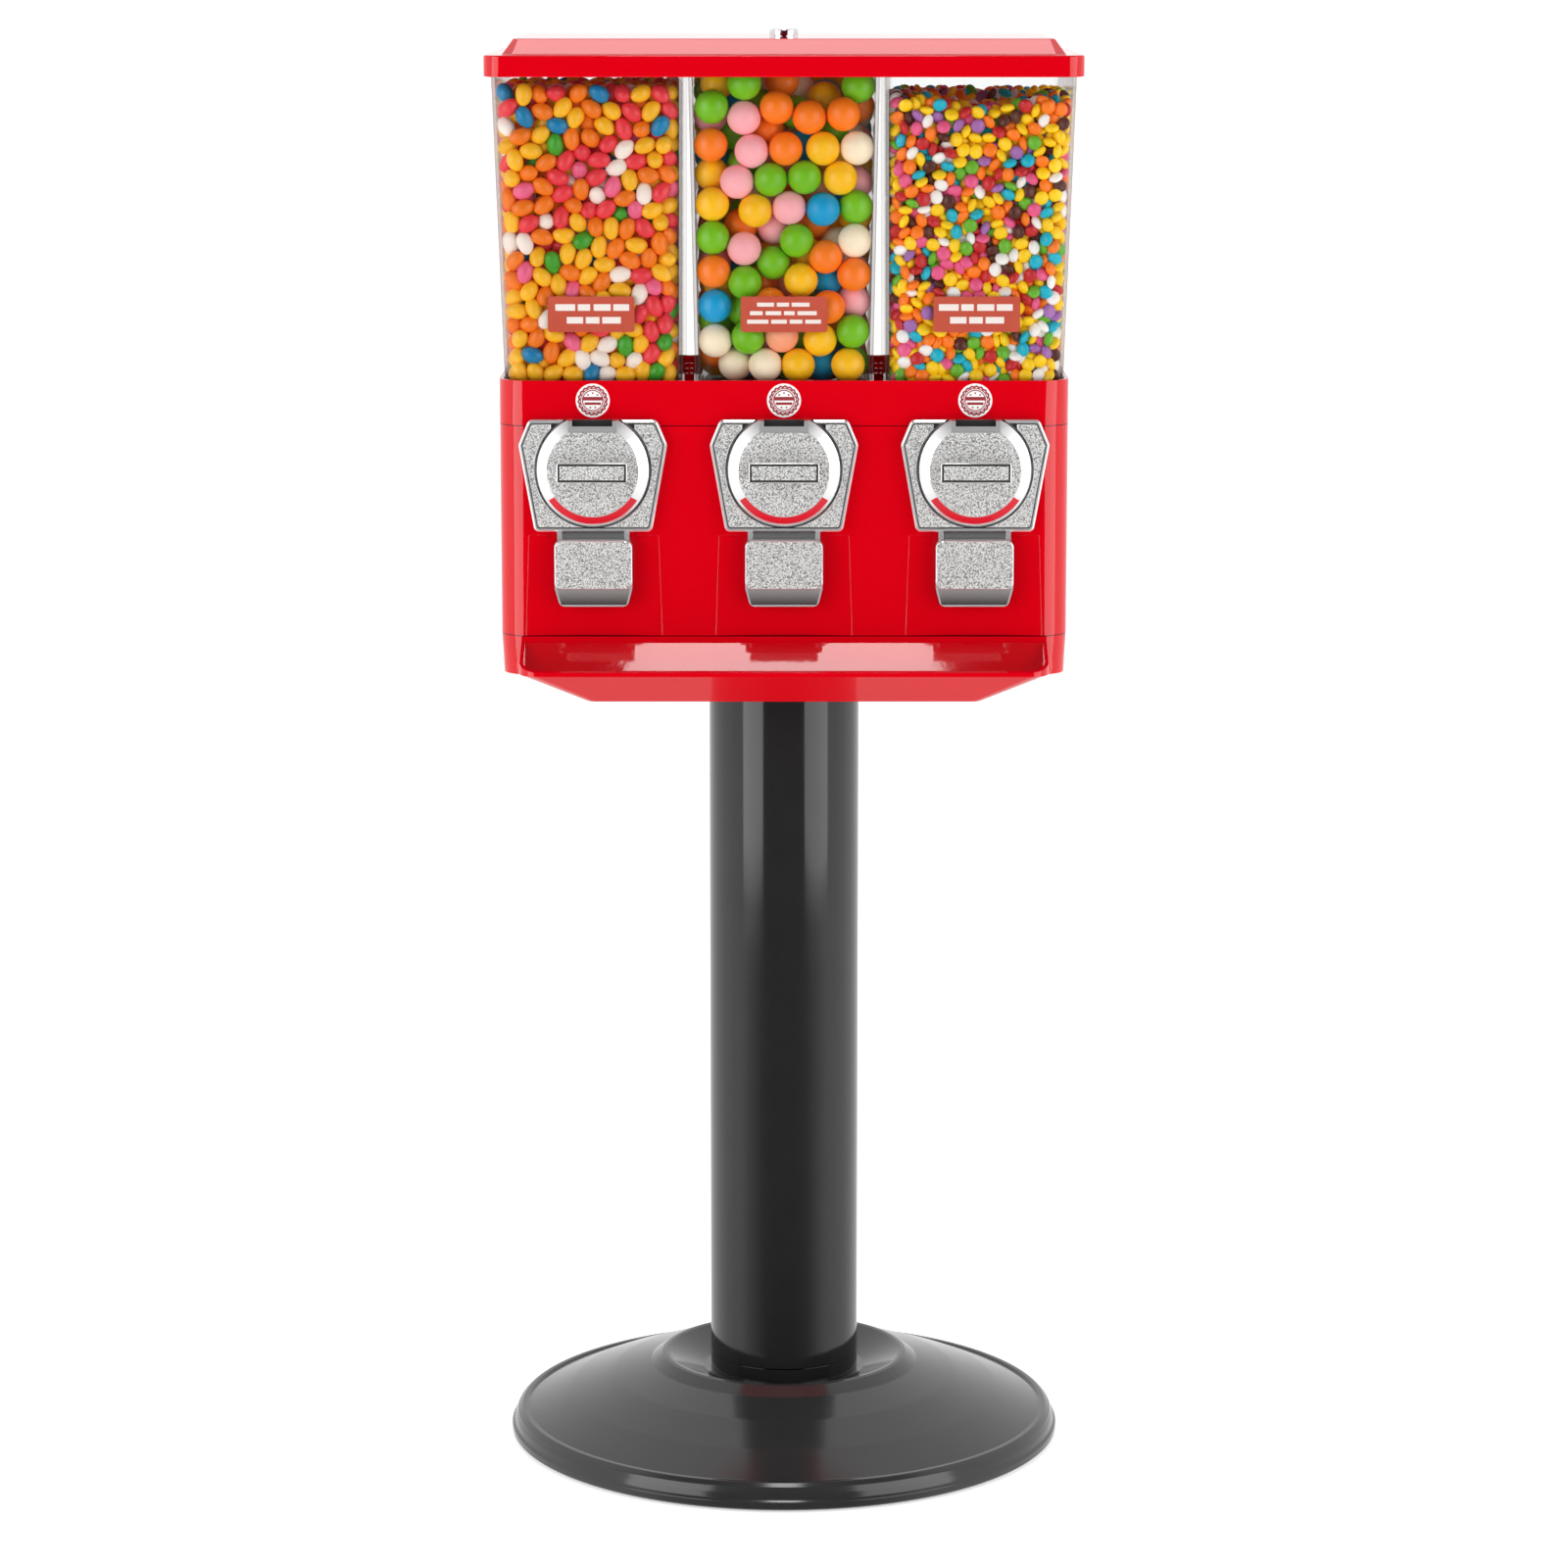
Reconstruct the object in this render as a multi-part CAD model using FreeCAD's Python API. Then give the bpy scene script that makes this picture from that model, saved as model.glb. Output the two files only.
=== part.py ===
"""Three-canister gumball and candy vending machine on a round pedestal.

A red plastic head carries three clear canisters under one lid. Behind each canister's coin dial a shaft and pinion
turn a horizontal dispensing wheel, which drops the product down a chute to a sprung-free flap door above a catch tray.
The head stands on a steel pole, clamped by one long tie rod to a weighted round base.

Units are millimetres. The origin is the centre of the base on the floor, +Z is up, and the front faces -Y.
Each sub-part is written to parts/NODE.step, already in its place.
"""

import FreeCAD, Part  # noqa: E401  FreeCAD has to be imported first
import math
import os

V = FreeCAD.Vector
X_AXIS, Y_AXIS, Z_AXIS = V(1, 0, 0), V(0, 1, 0), V(0, 0, 1)

# ---- driving dimensions -------------------------------------------------------------------------------------------

# Pedestal
BASE_R = 205.0                  # the base's outer bead
DISH_Z = 48.0                   # floor of the dish that the pole stands in
RIDGE_Z = 59.4                  # top of the ring round the dish
POLE_Z = 60.0                   # joint between the pole and its foot
COVER_WALL = 3.0
POLE_R = 55.0
POLE_WALL = 1.5
FOOT_RING_H = 6.0
WEIGHT_T = 10.0
TIE_ROD_R = 6.0

# Head, from the pan's underside to the lid
PAN_BOTTOM_Z = 571.0
PAN_RIM_Z = 590.0               # lowest edge of the head's side walls
LOWER_SEAM_Z = 618.0            # pan to housing
UPPER_SEAM_Z = 768.0            # housing to deck
DECK_RIM_Z = 800.0
DECK_FLOOR_Z = 793.0
LID_SKIRT_Z = 1012.0
LID_EDGE_Z = 1027.0
LID_TOP_Z = 1038.0
HEAD_W, HEAD_D, HEAD_CORNER_R = 404.0, 208.0, 22.0
WALL = 3.0
LID_W, LID_D, LID_CORNER_R, LID_WALL = 420.0, 224.0, 14.0, 2.5

# One vending unit, repeated three times
UNIT_PITCH = 135.0
UNITS = {"left": -UNIT_PITCH, "centre": 0.0, "right": UNIT_PITCH}
CANISTER_TOP_W, CANISTER_BASE_W, CANISTER_WALL = 135.0, 126.0, 2.5
CANISTER_TOP_D, CANISTER_BASE_D, CANISTER_CORNER_R = 208.0, 200.0, 16.5
CANISTER_LEAN = 3.5             # the outer canisters' tops stand this much further out than their floors

# Coin mechanism
FRONT_Y = -HEAD_D / 2
SHAFT_Z = 737.4
SHAFT_R = 4.0
RUNNING_GAP = 0.08              # radial clearance of every turning fit
PLATE_T = 7.0
DIAL_R, DIAL_FACE_R = 39.6, 32.5
DIAL_WELL_R = 40.8

# Drive: a ten-tooth pinion under the forty-tooth crown ring of the dispensing wheel
PINION_TEETH, CROWN_TEETH = 10, 40
CROWN_PITCH_R = 50.0
MODULE = 2 * CROWN_PITCH_R / CROWN_TEETH
PINION_PITCH_R = MODULE * PINION_TEETH / 2
ADDENDUM, DEDENDUM = 1.9, 2.6
PITCH_Z = SHAFT_Z + PINION_PITCH_R
WHEEL_R = 53.5
WHEEL_BOTTOM_Z, WHEEL_TOP_Z = 755.0, 779.0
CROWN_INNER_R = 46.5
WELL_R, WELL_WALL = 55.0, 3.0
WELL_FLOOR_Z, WELL_FLOOR_T = 744.0, 3.5
LAND_R, LAND_Z = 45.5, 754.5    # the raised floor that closes the pockets from below
POCKET_CIRCLE_R = 30.0
OUTLET_R = 14.0
AXLE_R = 3.5

# Flap door
DOOR_PIN_Z, DOOR_PIN_Y, DOOR_PIN_R = 690.4, FRONT_Y - 6.0, 1.5
DOOR_W, DOOR_BOTTOM_Z, DOOR_BEND_Z, DOOR_TOP_Z = 55.0, 640.0, 652.8, 687.6
DOOR_FRONT_Y = FRONT_Y - 12.0


# ---- helpers ------------------------------------------------------------------------------------------------------

def box(x0, x1, y0, y1, z0, z1):
    return Part.makeBox(x1 - x0, y1 - y0, z1 - z0, V(x0, y0, z0))


def rod_z(radius, z0, z1, x=0.0, y=0.0):
    return Part.makeCylinder(radius, z1 - z0, V(x, y, z0), Z_AXIS)


def rod_y(radius, y0, y1, x=0.0, z=0.0):
    return Part.makeCylinder(radius, y1 - y0, V(x, y0, z), Y_AXIS)


def rod_x(radius, x0, x1, y=0.0, z=0.0):
    return Part.makeCylinder(radius, x1 - x0, V(x0, y, z), X_AXIS)


def fuse(first, *others):
    """One solid from several, with the seams between them removed."""
    return first.multiFuse(list(others)).removeSplitter()


def rounded(x0, x1, y0, y1, radius, z):
    """A wire: a rectangle with round corners, at height z."""
    centres = [(x1 - radius, y1 - radius, 0), (x0 + radius, y1 - radius, 90),
               (x0 + radius, y0 + radius, 180), (x1 - radius, y0 + radius, 270)]
    arcs = []
    for cx, cy, start in centres:
        a0, a1 = math.radians(start), math.radians(start + 90)
        mid = (a0 + a1) / 2
        ends = [V(cx + radius * math.cos(a), cy + radius * math.sin(a), z) for a in (a0, mid, a1)]
        arcs.append(Part.Arc(*ends).toShape())
    edges = []
    for arc, following in zip(arcs, arcs[1:] + arcs[:1]):
        edges += [arc, Part.makeLine(arc.valueAt(arc.LastParameter), following.valueAt(following.FirstParameter))]
    return Part.Wire(edges)


def rounded_block(x0, x1, y0, y1, z0, z1, radius):
    return Part.Face(rounded(x0, x1, y0, y1, radius, z0)).extrude(V(0, 0, z1 - z0))


def chamfered(half_w, half_d, corner, z):
    """A wire: a rectangle about the origin with its corners cut off."""
    w, d, c = half_w, half_d, corner
    points = [(w, -d + c), (w, d - c), (w - c, d), (-w + c, d), (-w, d - c), (-w, -d + c), (-w + c, -d), (w - c, -d)]
    return Part.makePolygon([V(x, y, z) for x, y in points + points[:1]])


def loft(*wires):
    return Part.makeLoft(list(wires), True, True)


def prism_x(points, x0, x1):
    """A solid from an outline of (y, z) points, from x0 to x1."""
    wire = Part.makePolygon([V(x0, y, z) for y, z in points + points[:1]])
    return Part.Face(wire).extrude(V(x1 - x0, 0, 0))


def outline_xz(points, y):
    return Part.makePolygon([V(x, y, z) for x, z in points + points[:1]])


def prism_y(points, y0, y1):
    """A solid from an outline of (x, z) points, from y0 to y1."""
    return Part.Face(outline_xz(points, y0)).extrude(V(0, y1 - y0, 0))


def turned(points):
    """A solid of revolution about Z from a closed outline of (radius, z) points."""
    wire = Part.makePolygon([V(r, 0, z) for r, z in points + points[:1]])
    return Part.Face(wire).revolve(V(0, 0, 0), Z_AXIS, 360)


def inset(points, distance):
    """A convex clockwise or counter-clockwise outline moved inwards by distance."""
    cx = sum(p[0] for p in points) / len(points)
    cz = sum(p[1] for p in points) / len(points)
    lines = []
    for (x0, z0), (x1, z1) in zip(points, points[1:] + points[:1]):
        length = math.hypot(x1 - x0, z1 - z0)
        nx, nz = (z1 - z0) / length, -(x1 - x0) / length
        offset = nx * x0 + nz * z0
        if nx * cx + nz * cz > offset:
            nx, nz, offset = -nx, -nz, -offset
        lines.append((nx, nz, offset - distance))
    moved = []
    for (a0, b0, c0), (a1, b1, c1) in zip(lines[-1:] + lines[:-1], lines):
        det = a0 * b1 - a1 * b0
        moved.append(((c0 * b1 - c1 * b0) / det, (a0 * c1 - a1 * c0) / det))
    return moved


def fillet_along(shape, radius, direction, where=lambda middle: True):
    """Rounds the straight edges that run along direction and whose middle passes the test."""
    chosen = []
    for edge in shape.Edges:
        if isinstance(edge.Curve, Part.Line) and abs(edge.Curve.Direction.dot(direction)) > 0.999:
            if where(edge.CenterOfMass):
                chosen.append(edge)
    return shape.makeFillet(radius, chosen)


def save(name, *solids):
    """Writes one sub-part; several solids become one node of separate pieces."""
    shape = solids[0] if len(solids) == 1 else Part.makeCompound(list(solids))
    count = sum(len(s.Solids) for s in solids)
    assert count == len(solids) and shape.isValid(), f"{name}: {count} solids, valid {shape.isValid()}"
    shape.exportStep(f"parts/{name}.step")


# ---- pedestal -----------------------------------------------------------------------------------------------------

def base_cover():
    """The dished cover: a beaded rim, a long shallow slope, and a raised flat ring for the pole."""
    outer = [(BASE_R - 1.5, 1.5), (BASE_R, 3.0), (BASE_R, 6.0), (BASE_R - 1.2, 7.4), (BASE_R - 2.4, 8.4),
             (BASE_R - 3.0, 13.0), (BASE_R - 4.4, 16.6), (BASE_R - 7.2, 19.2), (BASE_R - 10.4, 19.7),
             (BASE_R - 12.4, 18.9), (BASE_R - 14.6, 19.6), (160.0, 32.4), (128.0, 44.2), (103.0, 51.6),
             (100.6, 52.6), (91.0, 58.4), (88.0, RIDGE_Z), (85.0, RIDGE_Z - 0.4), (60.0, DISH_Z + 0.2),
             (58.0, DISH_Z), (TIE_ROD_R + 1, DISH_Z)]
    t = COVER_WALL
    inner = [(TIE_ROD_R + 1, DISH_Z - t), (59.0, DISH_Z - t), (62.0, DISH_Z - t + 0.6), (87.0, RIDGE_Z - t - 0.6),
             (98.6, 49.8), (102.0, 48.4), (128.0, 41.0), (160.0, 29.2), (BASE_R - 14.0, 16.2),
             (BASE_R - 8.4, 15.4), (BASE_R - 6.4, 12.6), (BASE_R - 5.6, 7.0), (BASE_R - 4.5, 1.5)]
    return turned(outer + inner)


def pole_foot():
    """The ring the pole stands on, with a spigot that centres the tube."""
    ring = rod_z(POLE_R, DISH_Z, POLE_Z).fuse(rod_z(POLE_R - POLE_WALL - 0.3, POLE_Z, POLE_Z + 14))
    return ring.removeSplitter().cut(rod_z(POLE_R - POLE_WALL - 3.5, DISH_Z, POLE_Z + 14))


def base_parts():
    weight_z = FOOT_RING_H
    weight_top = weight_z + WEIGHT_T
    save("base_cover", base_cover())
    save("pole_foot", pole_foot())
    save("foot_ring", rod_z(183, 0, FOOT_RING_H).cut(rod_z(165, 0, FOOT_RING_H)))
    save("base_weight", rod_z(188, weight_z, weight_top - 2).fuse(
        Part.makeCone(188, 186, 2, V(0, 0, weight_top - 2), Z_AXIS)).removeSplitter().cut(
        rod_z(TIE_ROD_R + 0.5, weight_z, weight_top)))
    save("base_hub", rod_z(46, weight_top, DISH_Z - COVER_WALL).cut(
        rod_z(42, weight_top, DISH_Z - COVER_WALL)))


def hexagon(across_flats, z0, z1, x=0.0, y=0.0, bore=0.0):
    corner = across_flats / math.sqrt(3)
    points = [V(x + corner * math.cos(math.radians(60 * k)), y + corner * math.sin(math.radians(60 * k)), z0)
              for k in range(6)]
    nut = Part.Face(Part.makePolygon(points + points[:1])).extrude(V(0, 0, z1 - z0))
    return nut.cut(rod_z(bore, z0, z1, x, y)) if bore else nut


POLE_TOP_PLATE_T = 8.0
PAN_FLOOR_T = 3.0
BOLT_CIRCLE_R, HEAD_BOLT_R = 36.0, 3.0


def pole_parts():
    top = PAN_BOTTOM_Z
    bore = POLE_R - POLE_WALL
    save("pole", rod_z(POLE_R, POLE_Z, top).cut(rod_z(bore, POLE_Z, top)))

    cap = rod_z(bore - 0.2, top - POLE_TOP_PLATE_T, top).cut(rod_z(TIE_ROD_R + 0.5, top - POLE_TOP_PLATE_T, top))
    places = [(BOLT_CIRCLE_R * math.cos(a), BOLT_CIRCLE_R * math.sin(a))
              for a in (math.radians(45 + 90 * k) for k in range(4))]
    for x, y in places:
        cap = cap.cut(rod_z(HEAD_BOLT_R, top - POLE_TOP_PLATE_T, top, x, y))
    save("pole_top_plate", cap)

    seat = top + PAN_FLOOR_T
    bolts = [fuse(rod_z(HEAD_BOLT_R, top - POLE_TOP_PLATE_T, seat, x, y), hexagon(10, seat, seat + 4, x, y))
             for x, y in places]
    save("head_bolts", *bolts)

    save("tie_rod", rod_z(TIE_ROD_R, 1.6, seat + 12))
    washer = rod_z(14, seat, seat + 2).cut(rod_z(TIE_ROD_R, seat, seat + 2))
    save("tie_rod_nuts", hexagon(18, 1.6, FOOT_RING_H, bore=TIE_ROD_R), washer,
         hexagon(18, seat + 2, seat + 10, bore=TIE_ROD_R))
    return places


# ---- head shells --------------------------------------------------------------------------------------------------

TRAY_W = 374.0                  # across the catch tray's lip
TRAY_LIP_Y, TRAY_LIP_Z = -146.0, 598.0
TRAY_BACK_Z = 614.0             # where the tray's ramp leaves the front wall
TRAY_FLOOR_Y, TRAY_FLOOR_Z = -128.0, 590.8
SUMP_TOP_Z = 595.0


def bottom_pan(bolt_places):
    """The lower shell: its rim meets the housing, its front is the catch tray, and its underside is a shallow sump."""
    half_w, half_d, r = HEAD_W / 2, HEAD_D / 2, HEAD_CORNER_R
    rim = loft(rounded(-half_w + 1.5, half_w - 1.5, -half_d, half_d - 1, r, PAN_RIM_Z),
               rounded(-half_w, half_w, -half_d, half_d, r, LOWER_SEAM_Z))
    sump = loft(rounded(-142, 142, -106, 78, 8, PAN_BOTTOM_Z),
                rounded(-TRAY_W / 2, TRAY_W / 2, TRAY_LIP_Y, 100, 14, SUMP_TOP_Z))
    tray = rounded_block(-TRAY_W / 2, TRAY_W / 2, TRAY_LIP_Y, 0, SUMP_TOP_Z, LOWER_SEAM_Z, 14)
    above_tray = prism_x([(FRONT_Y, LOWER_SEAM_Z + 5), (FRONT_Y, TRAY_BACK_Z), (TRAY_LIP_Y, TRAY_LIP_Z),
                          (TRAY_LIP_Y - 10, TRAY_LIP_Z), (TRAY_LIP_Y - 10, LOWER_SEAM_Z + 5)], -200, 200)
    behind_front = box(-200, 200, -60, 10, SUMP_TOP_Z - 5, LOWER_SEAM_Z + 5)
    pan = fuse(rim, sump, tray.cut(above_tray).cut(behind_front))

    trough = prism_x([(FRONT_Y, LOWER_SEAM_Z), (FRONT_Y, TRAY_BACK_Z - 1), (TRAY_FLOOR_Y + 1, TRAY_FLOOR_Z),
                      (TRAY_FLOOR_Y - 6, TRAY_FLOOR_Z + 0.4), (TRAY_LIP_Y + 2.6, TRAY_LIP_Z - 1.2),
                      (TRAY_LIP_Y + 2.6, LOWER_SEAM_Z)], -TRAY_W / 2 + 2.6, TRAY_W / 2 - 2.6)
    trough = trough.common(rounded_block(-TRAY_W / 2 + 2.6, TRAY_W / 2 - 2.6, TRAY_LIP_Y + 2.6, 0,
                                         580, LOWER_SEAM_Z, 12))
    cavity = rounded_block(-half_w + WALL, half_w - WALL, -half_d + WALL, half_d - WALL,
                           SUMP_TOP_Z - 1, LOWER_SEAM_Z + 5, r - WALL)
    well = loft(rounded(-140, 140, -103, 75, 6, PAN_BOTTOM_Z + PAN_FLOOR_T),
                rounded(-183, 183, -101, 96, 12, SUMP_TOP_Z))
    under_ramp = prism_x([(-101.5, 607.5), (-122, 587.4), (-105, 576.4), (-101.5, 576.4)], -146, 146)
    pan = pan.cut(trough).cut(cavity).cut(well).cut(under_ramp)
    for x, y in bolt_places:
        pan = pan.cut(rod_z(HEAD_BOLT_R, PAN_BOTTOM_Z - 1, PAN_BOTTOM_Z + PAN_FLOOR_T + 1, x, y))
    return pan.cut(rod_z(TIE_ROD_R, PAN_BOTTOM_Z - 1, PAN_BOTTOM_Z + PAN_FLOOR_T + 1))


CASH_TRAY_H = 34.0


def cash_tray():
    z0 = SUMP_TOP_Z - 0.8
    outer = rounded_block(-194, 194, -97, 97, z0, z0 + CASH_TRAY_H, 16)
    return outer.cut(rounded_block(-192, 192, -95, 95, z0 + 2, z0 + CASH_TRAY_H + 1, 14))


PANEL_TOP_Z = 690.0
PANEL_SCOOP = 2.2               # depth of the concave panel at its top, on the unit's centre line
PANEL_TOP_HALF_W = 45.5
FRONT_T = 5.0
MECH_HALF_W, MECH_Z0, MECH_Z1 = 32.0, 711.5, 763.5
MOUTH_HALF_W, MOUTH_Z0, MOUTH_Z1 = 24.0, 642.0, 686.0


def scoop(x):
    """The concave panel round a door, a cone's side cut into the flat front; it widens a little downwards."""
    r_top = (PANEL_TOP_HALF_W ** 2 + PANEL_SCOOP ** 2) / (2 * PANEL_SCOOP)
    axis_y = FRONT_Y - r_top + PANEL_SCOOP
    z0 = LOWER_SEAM_Z - 5
    return Part.makeCone(r_top + 0.45, r_top, PANEL_TOP_Z - z0, V(x, axis_y, z0), Z_AXIS)


def main_housing():
    half_w, half_d, r = HEAD_W / 2, HEAD_D / 2, HEAD_CORNER_R
    outer = rounded_block(-half_w, half_w, -half_d, half_d, LOWER_SEAM_Z, UPPER_SEAM_Z, r)
    inner = rounded_block(-half_w + WALL, half_w - WALL, -half_d + FRONT_T, half_d - WALL,
                          LOWER_SEAM_Z - 1, UPPER_SEAM_Z + 1, r - WALL)
    shell = outer.cut(inner)
    for x in UNITS.values():
        shell = shell.cut(scoop(x))
        shell = shell.cut(box(x - MECH_HALF_W - 1, x + MECH_HALF_W + 1, FRONT_Y - 1, FRONT_Y + 8,
                              MECH_Z0 - 1, MECH_Z1 + 1))
        mouth = box(x - MOUTH_HALF_W, x + MOUTH_HALF_W, FRONT_Y - 1, FRONT_Y + 8, MOUTH_Z0, MOUTH_Z1)
        shell = shell.cut(fillet_along(mouth, 4, Y_AXIS))
    return shell


def top_deck():
    """The upper frame: a rim, a floor with a round well under each canister, and pierced clips between canisters."""
    half_w, half_d, r = HEAD_W / 2, HEAD_D / 2, HEAD_CORNER_R
    frame = rounded_block(-half_w, half_w, -half_d, half_d, UPPER_SEAM_Z, DECK_RIM_Z, r)
    frame = frame.cut(rounded_block(-half_w + WALL, half_w - WALL, -half_d + WALL, half_d - WALL,
                                    DECK_FLOOR_Z, DECK_RIM_Z + 1, r - WALL))
    frame = frame.cut(rounded_block(-half_w + WALL, half_w - WALL, -half_d + WALL, half_d - WALL,
                                    UPPER_SEAM_Z - 1, DECK_FLOOR_Z - 4, r - WALL))
    wells = [rod_z(WELL_R + WELL_WALL, WELL_FLOOR_Z, DECK_FLOOR_Z - 2, x) for x in UNITS.values()]
    frame = fuse(frame, *wells)
    for x in UNITS.values():
        ring = rod_z(WELL_R, WELL_FLOOR_Z + WELL_FLOOR_T, DECK_FLOOR_Z + 1, x)
        frame = frame.cut(ring.cut(rod_z(LAND_R, WELL_FLOOR_Z, LAND_Z, x)))
        pinion_slot = box(x - 15.5, x + 15.5, -WELL_R - WELL_WALL, -CROWN_INNER_R + 0.6, WELL_FLOOR_Z - 1,
                          PITCH_Z + ADDENDUM + 1)
        frame = frame.cut(pinion_slot)
        frame = frame.cut(rod_z(OUTLET_R, WELL_FLOOR_Z - 1, LAND_Z + 1, x, -POCKET_CIRCLE_R))
        frame = frame.cut(rod_z(AXLE_R, WELL_FLOOR_Z - 1, LAND_Z + 1, x))
    clips = []
    for side in (-1, 1):
        mid = side * UNIT_PITCH / 2
        clip = box(mid - 3.5, mid + 3.5, -62, -60, DECK_FLOOR_Z - 1, DECK_FLOOR_Z + 21)
        for column in (-1.7, 1.7):
            for row in (9.4, 13.0, 16.6):
                clip = clip.cut(box(mid + column - 1.1, mid + column + 1.1, -63, -59,
                                    DECK_FLOOR_Z + row - 1.1, DECK_FLOOR_Z + row + 1.1))
        clips.append(clip)
    frame = fuse(frame, *clips)
    return frame


ROD_R = 2.0
LOCK_STEM_R = 6.0
LOCK_HEAD_R, LOCK_HEAD_H = 10.5, 5.0
LID_LIP = 11.0                  # the flat margin between the lid's edge and its raised middle


def lid():
    half_w, half_d = LID_W / 2, LID_D / 2
    t = LID_WALL
    outer = rounded_block(-half_w, half_w, -half_d, half_d, LID_SKIRT_Z, LID_EDGE_Z, LID_CORNER_R)
    outer = outer.makeFillet(1.2, [e for e in outer.Edges if e.BoundBox.ZMin > LID_EDGE_Z - 0.01])
    raised = loft(chamfered(half_w - LID_LIP, half_d - LID_LIP, 8, LID_EDGE_Z - 2),
                  chamfered(half_w - LID_LIP - 9, half_d - LID_LIP - 16, 4, LID_TOP_Z))
    shell = fuse(outer, raised)
    inner = rounded_block(-half_w + t, half_w - t, -half_d + t, half_d - t, LID_SKIRT_Z - 1, LID_EDGE_Z - t,
                          LID_CORNER_R - t)
    hollow = loft(chamfered(half_w - LID_LIP - t, half_d - LID_LIP - t, 8, LID_EDGE_Z - 6),
                  chamfered(half_w - LID_LIP - 9 - t, half_d - LID_LIP - 16 - t, 4, LID_TOP_Z - t))
    shell = shell.cut(inner).cut(hollow)
    return shell.cut(rod_z(LOCK_STEM_R + 0.5, LID_TOP_Z - 10, LID_TOP_Z + 1))


def lid_lock():
    """The key lock on the lid: a round head over a stem that fits the end of the rod."""
    z0 = LID_TOP_Z + 0.3
    head = rod_z(LOCK_HEAD_R, z0, z0 + LOCK_HEAD_H - 1).fuse(
        Part.makeCone(LOCK_HEAD_R, LOCK_HEAD_R - 1, 1, V(0, 0, z0 + LOCK_HEAD_H - 1), Z_AXIS))
    lock = fuse(head, rod_z(LOCK_STEM_R, z0 - 10, z0))
    lock = lock.cut(rod_z(ROD_R + 0.4, z0 - 11, z0 + 0.5))
    ring = rod_z(4.4, z0 + LOCK_HEAD_H - 0.8, z0 + LOCK_HEAD_H + 1).cut(
        rod_z(3.2, z0 + LOCK_HEAD_H - 0.8, z0 + LOCK_HEAD_H + 1))
    return lock.cut(ring)


# ---- canisters and dispensing wheels ------------------------------------------------------------------------------

CANISTER_TOP_Z = LID_EDGE_Z - LID_WALL - 0.5


def canister(x):
    """A clear tapered box, open at the top, with a round hole in its floor over the wheel."""
    lean = math.copysign(CANISTER_LEAN, x) if x else 0.0
    z0, z1, t = DECK_FLOOR_Z, CANISTER_TOP_Z, CANISTER_WALL

    def section(inward, z):
        share = (z - z0) / (z1 - z0)
        half_w = (CANISTER_BASE_W + share * (CANISTER_TOP_W - CANISTER_BASE_W)) / 2 - inward
        half_d = (CANISTER_BASE_D + share * (CANISTER_TOP_D - CANISTER_BASE_D)) / 2 - inward
        cx = x + lean * share
        return rounded(cx - half_w, cx + half_w, -half_d, half_d, CANISTER_CORNER_R - inward, z)

    shell = loft(section(0, z0), section(0, z1)).cut(loft(section(t, z0 + t), section(t, z1 + 5)))
    return shell.cut(rod_z(WELL_R - 1, z0 - 1, z0 + t + 1, x))


def crown_tooth(angle):
    """One radial tooth under the wheel's rim: a straight rack tooth, pointing down, a little slimmer than its gap."""
    pitch = math.pi * MODULE
    slope = math.tan(math.radians(20))
    half = 0.185 * pitch
    root_z = PITCH_Z + DEDENDUM
    tip_z = PITCH_Z - ADDENDUM
    y0, y1 = -WHEEL_R + 0.3, -CROWN_INNER_R - 0.2
    points = [(-half - slope * (root_z - PITCH_Z), root_z + 1), (half + slope * (root_z - PITCH_Z), root_z + 1),
              (half - slope * ADDENDUM, tip_z), (-half + slope * ADDENDUM, tip_z)]
    tooth = prism_y(points, y0, y1)
    tooth.rotate(V(0, 0, 0), Z_AXIS, angle)
    return tooth


def dispensing_wheel(x, pockets, pocket_r):
    """A thick wheel with through pockets, a crown ring of teeth below its rim, and a plain bore on its axle."""
    wheel = rod_z(WHEEL_R, WHEEL_BOTTOM_Z, WHEEL_TOP_Z)
    wheel = wheel.makeFillet(1.0, [e for e in wheel.Edges if e.BoundBox.ZMin > WHEEL_TOP_Z - 0.01])
    root_z = PITCH_Z + DEDENDUM
    ring = rod_z(WHEEL_R, root_z, WHEEL_BOTTOM_Z + 1).cut(rod_z(CROWN_INNER_R, root_z, WHEEL_BOTTOM_Z + 1))
    step = 360.0 / CROWN_TEETH
    teeth = [crown_tooth((k + 0.5) * step) for k in range(CROWN_TEETH)]
    wheel = wheel.multiFuse([ring] + teeth).removeSplitter()
    for k in range(pockets):
        a = math.radians(-90 + 360.0 / pockets * k)
        px, py = POCKET_CIRCLE_R * math.cos(a), POCKET_CIRCLE_R * math.sin(a)
        wheel = wheel.cut(rod_z(pocket_r, WHEEL_BOTTOM_Z - 1, WHEEL_TOP_Z + 1, px, py))
    wheel = wheel.cut(rod_z(AXLE_R + RUNNING_GAP, WHEEL_BOTTOM_Z - 1, WHEEL_TOP_Z + 1))
    wheel.translate(V(x, 0, 0))
    return wheel


def agitator(x):
    """A stiff wire cross-bar on the wheel that stirs the product, with two upright fingers."""
    z = WHEEL_TOP_Z + 6
    hub = rod_z(6.5, WHEEL_TOP_Z, z + 2).cut(rod_z(AXLE_R + 0.4, WHEEL_TOP_Z - 1, z + 3))
    bar = rod_x(1.3, 5.0, 38.0, z=z)
    other = rod_x(1.3, -38.0, -5.0, z=z)
    fingers = [rod_z(1.3, z, z + 11, x=s * 38.0) for s in (-1, 1)]
    wire = fuse(hub, bar, other, *fingers)
    wire.translate(V(x, 0, 0))
    return wire


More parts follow.
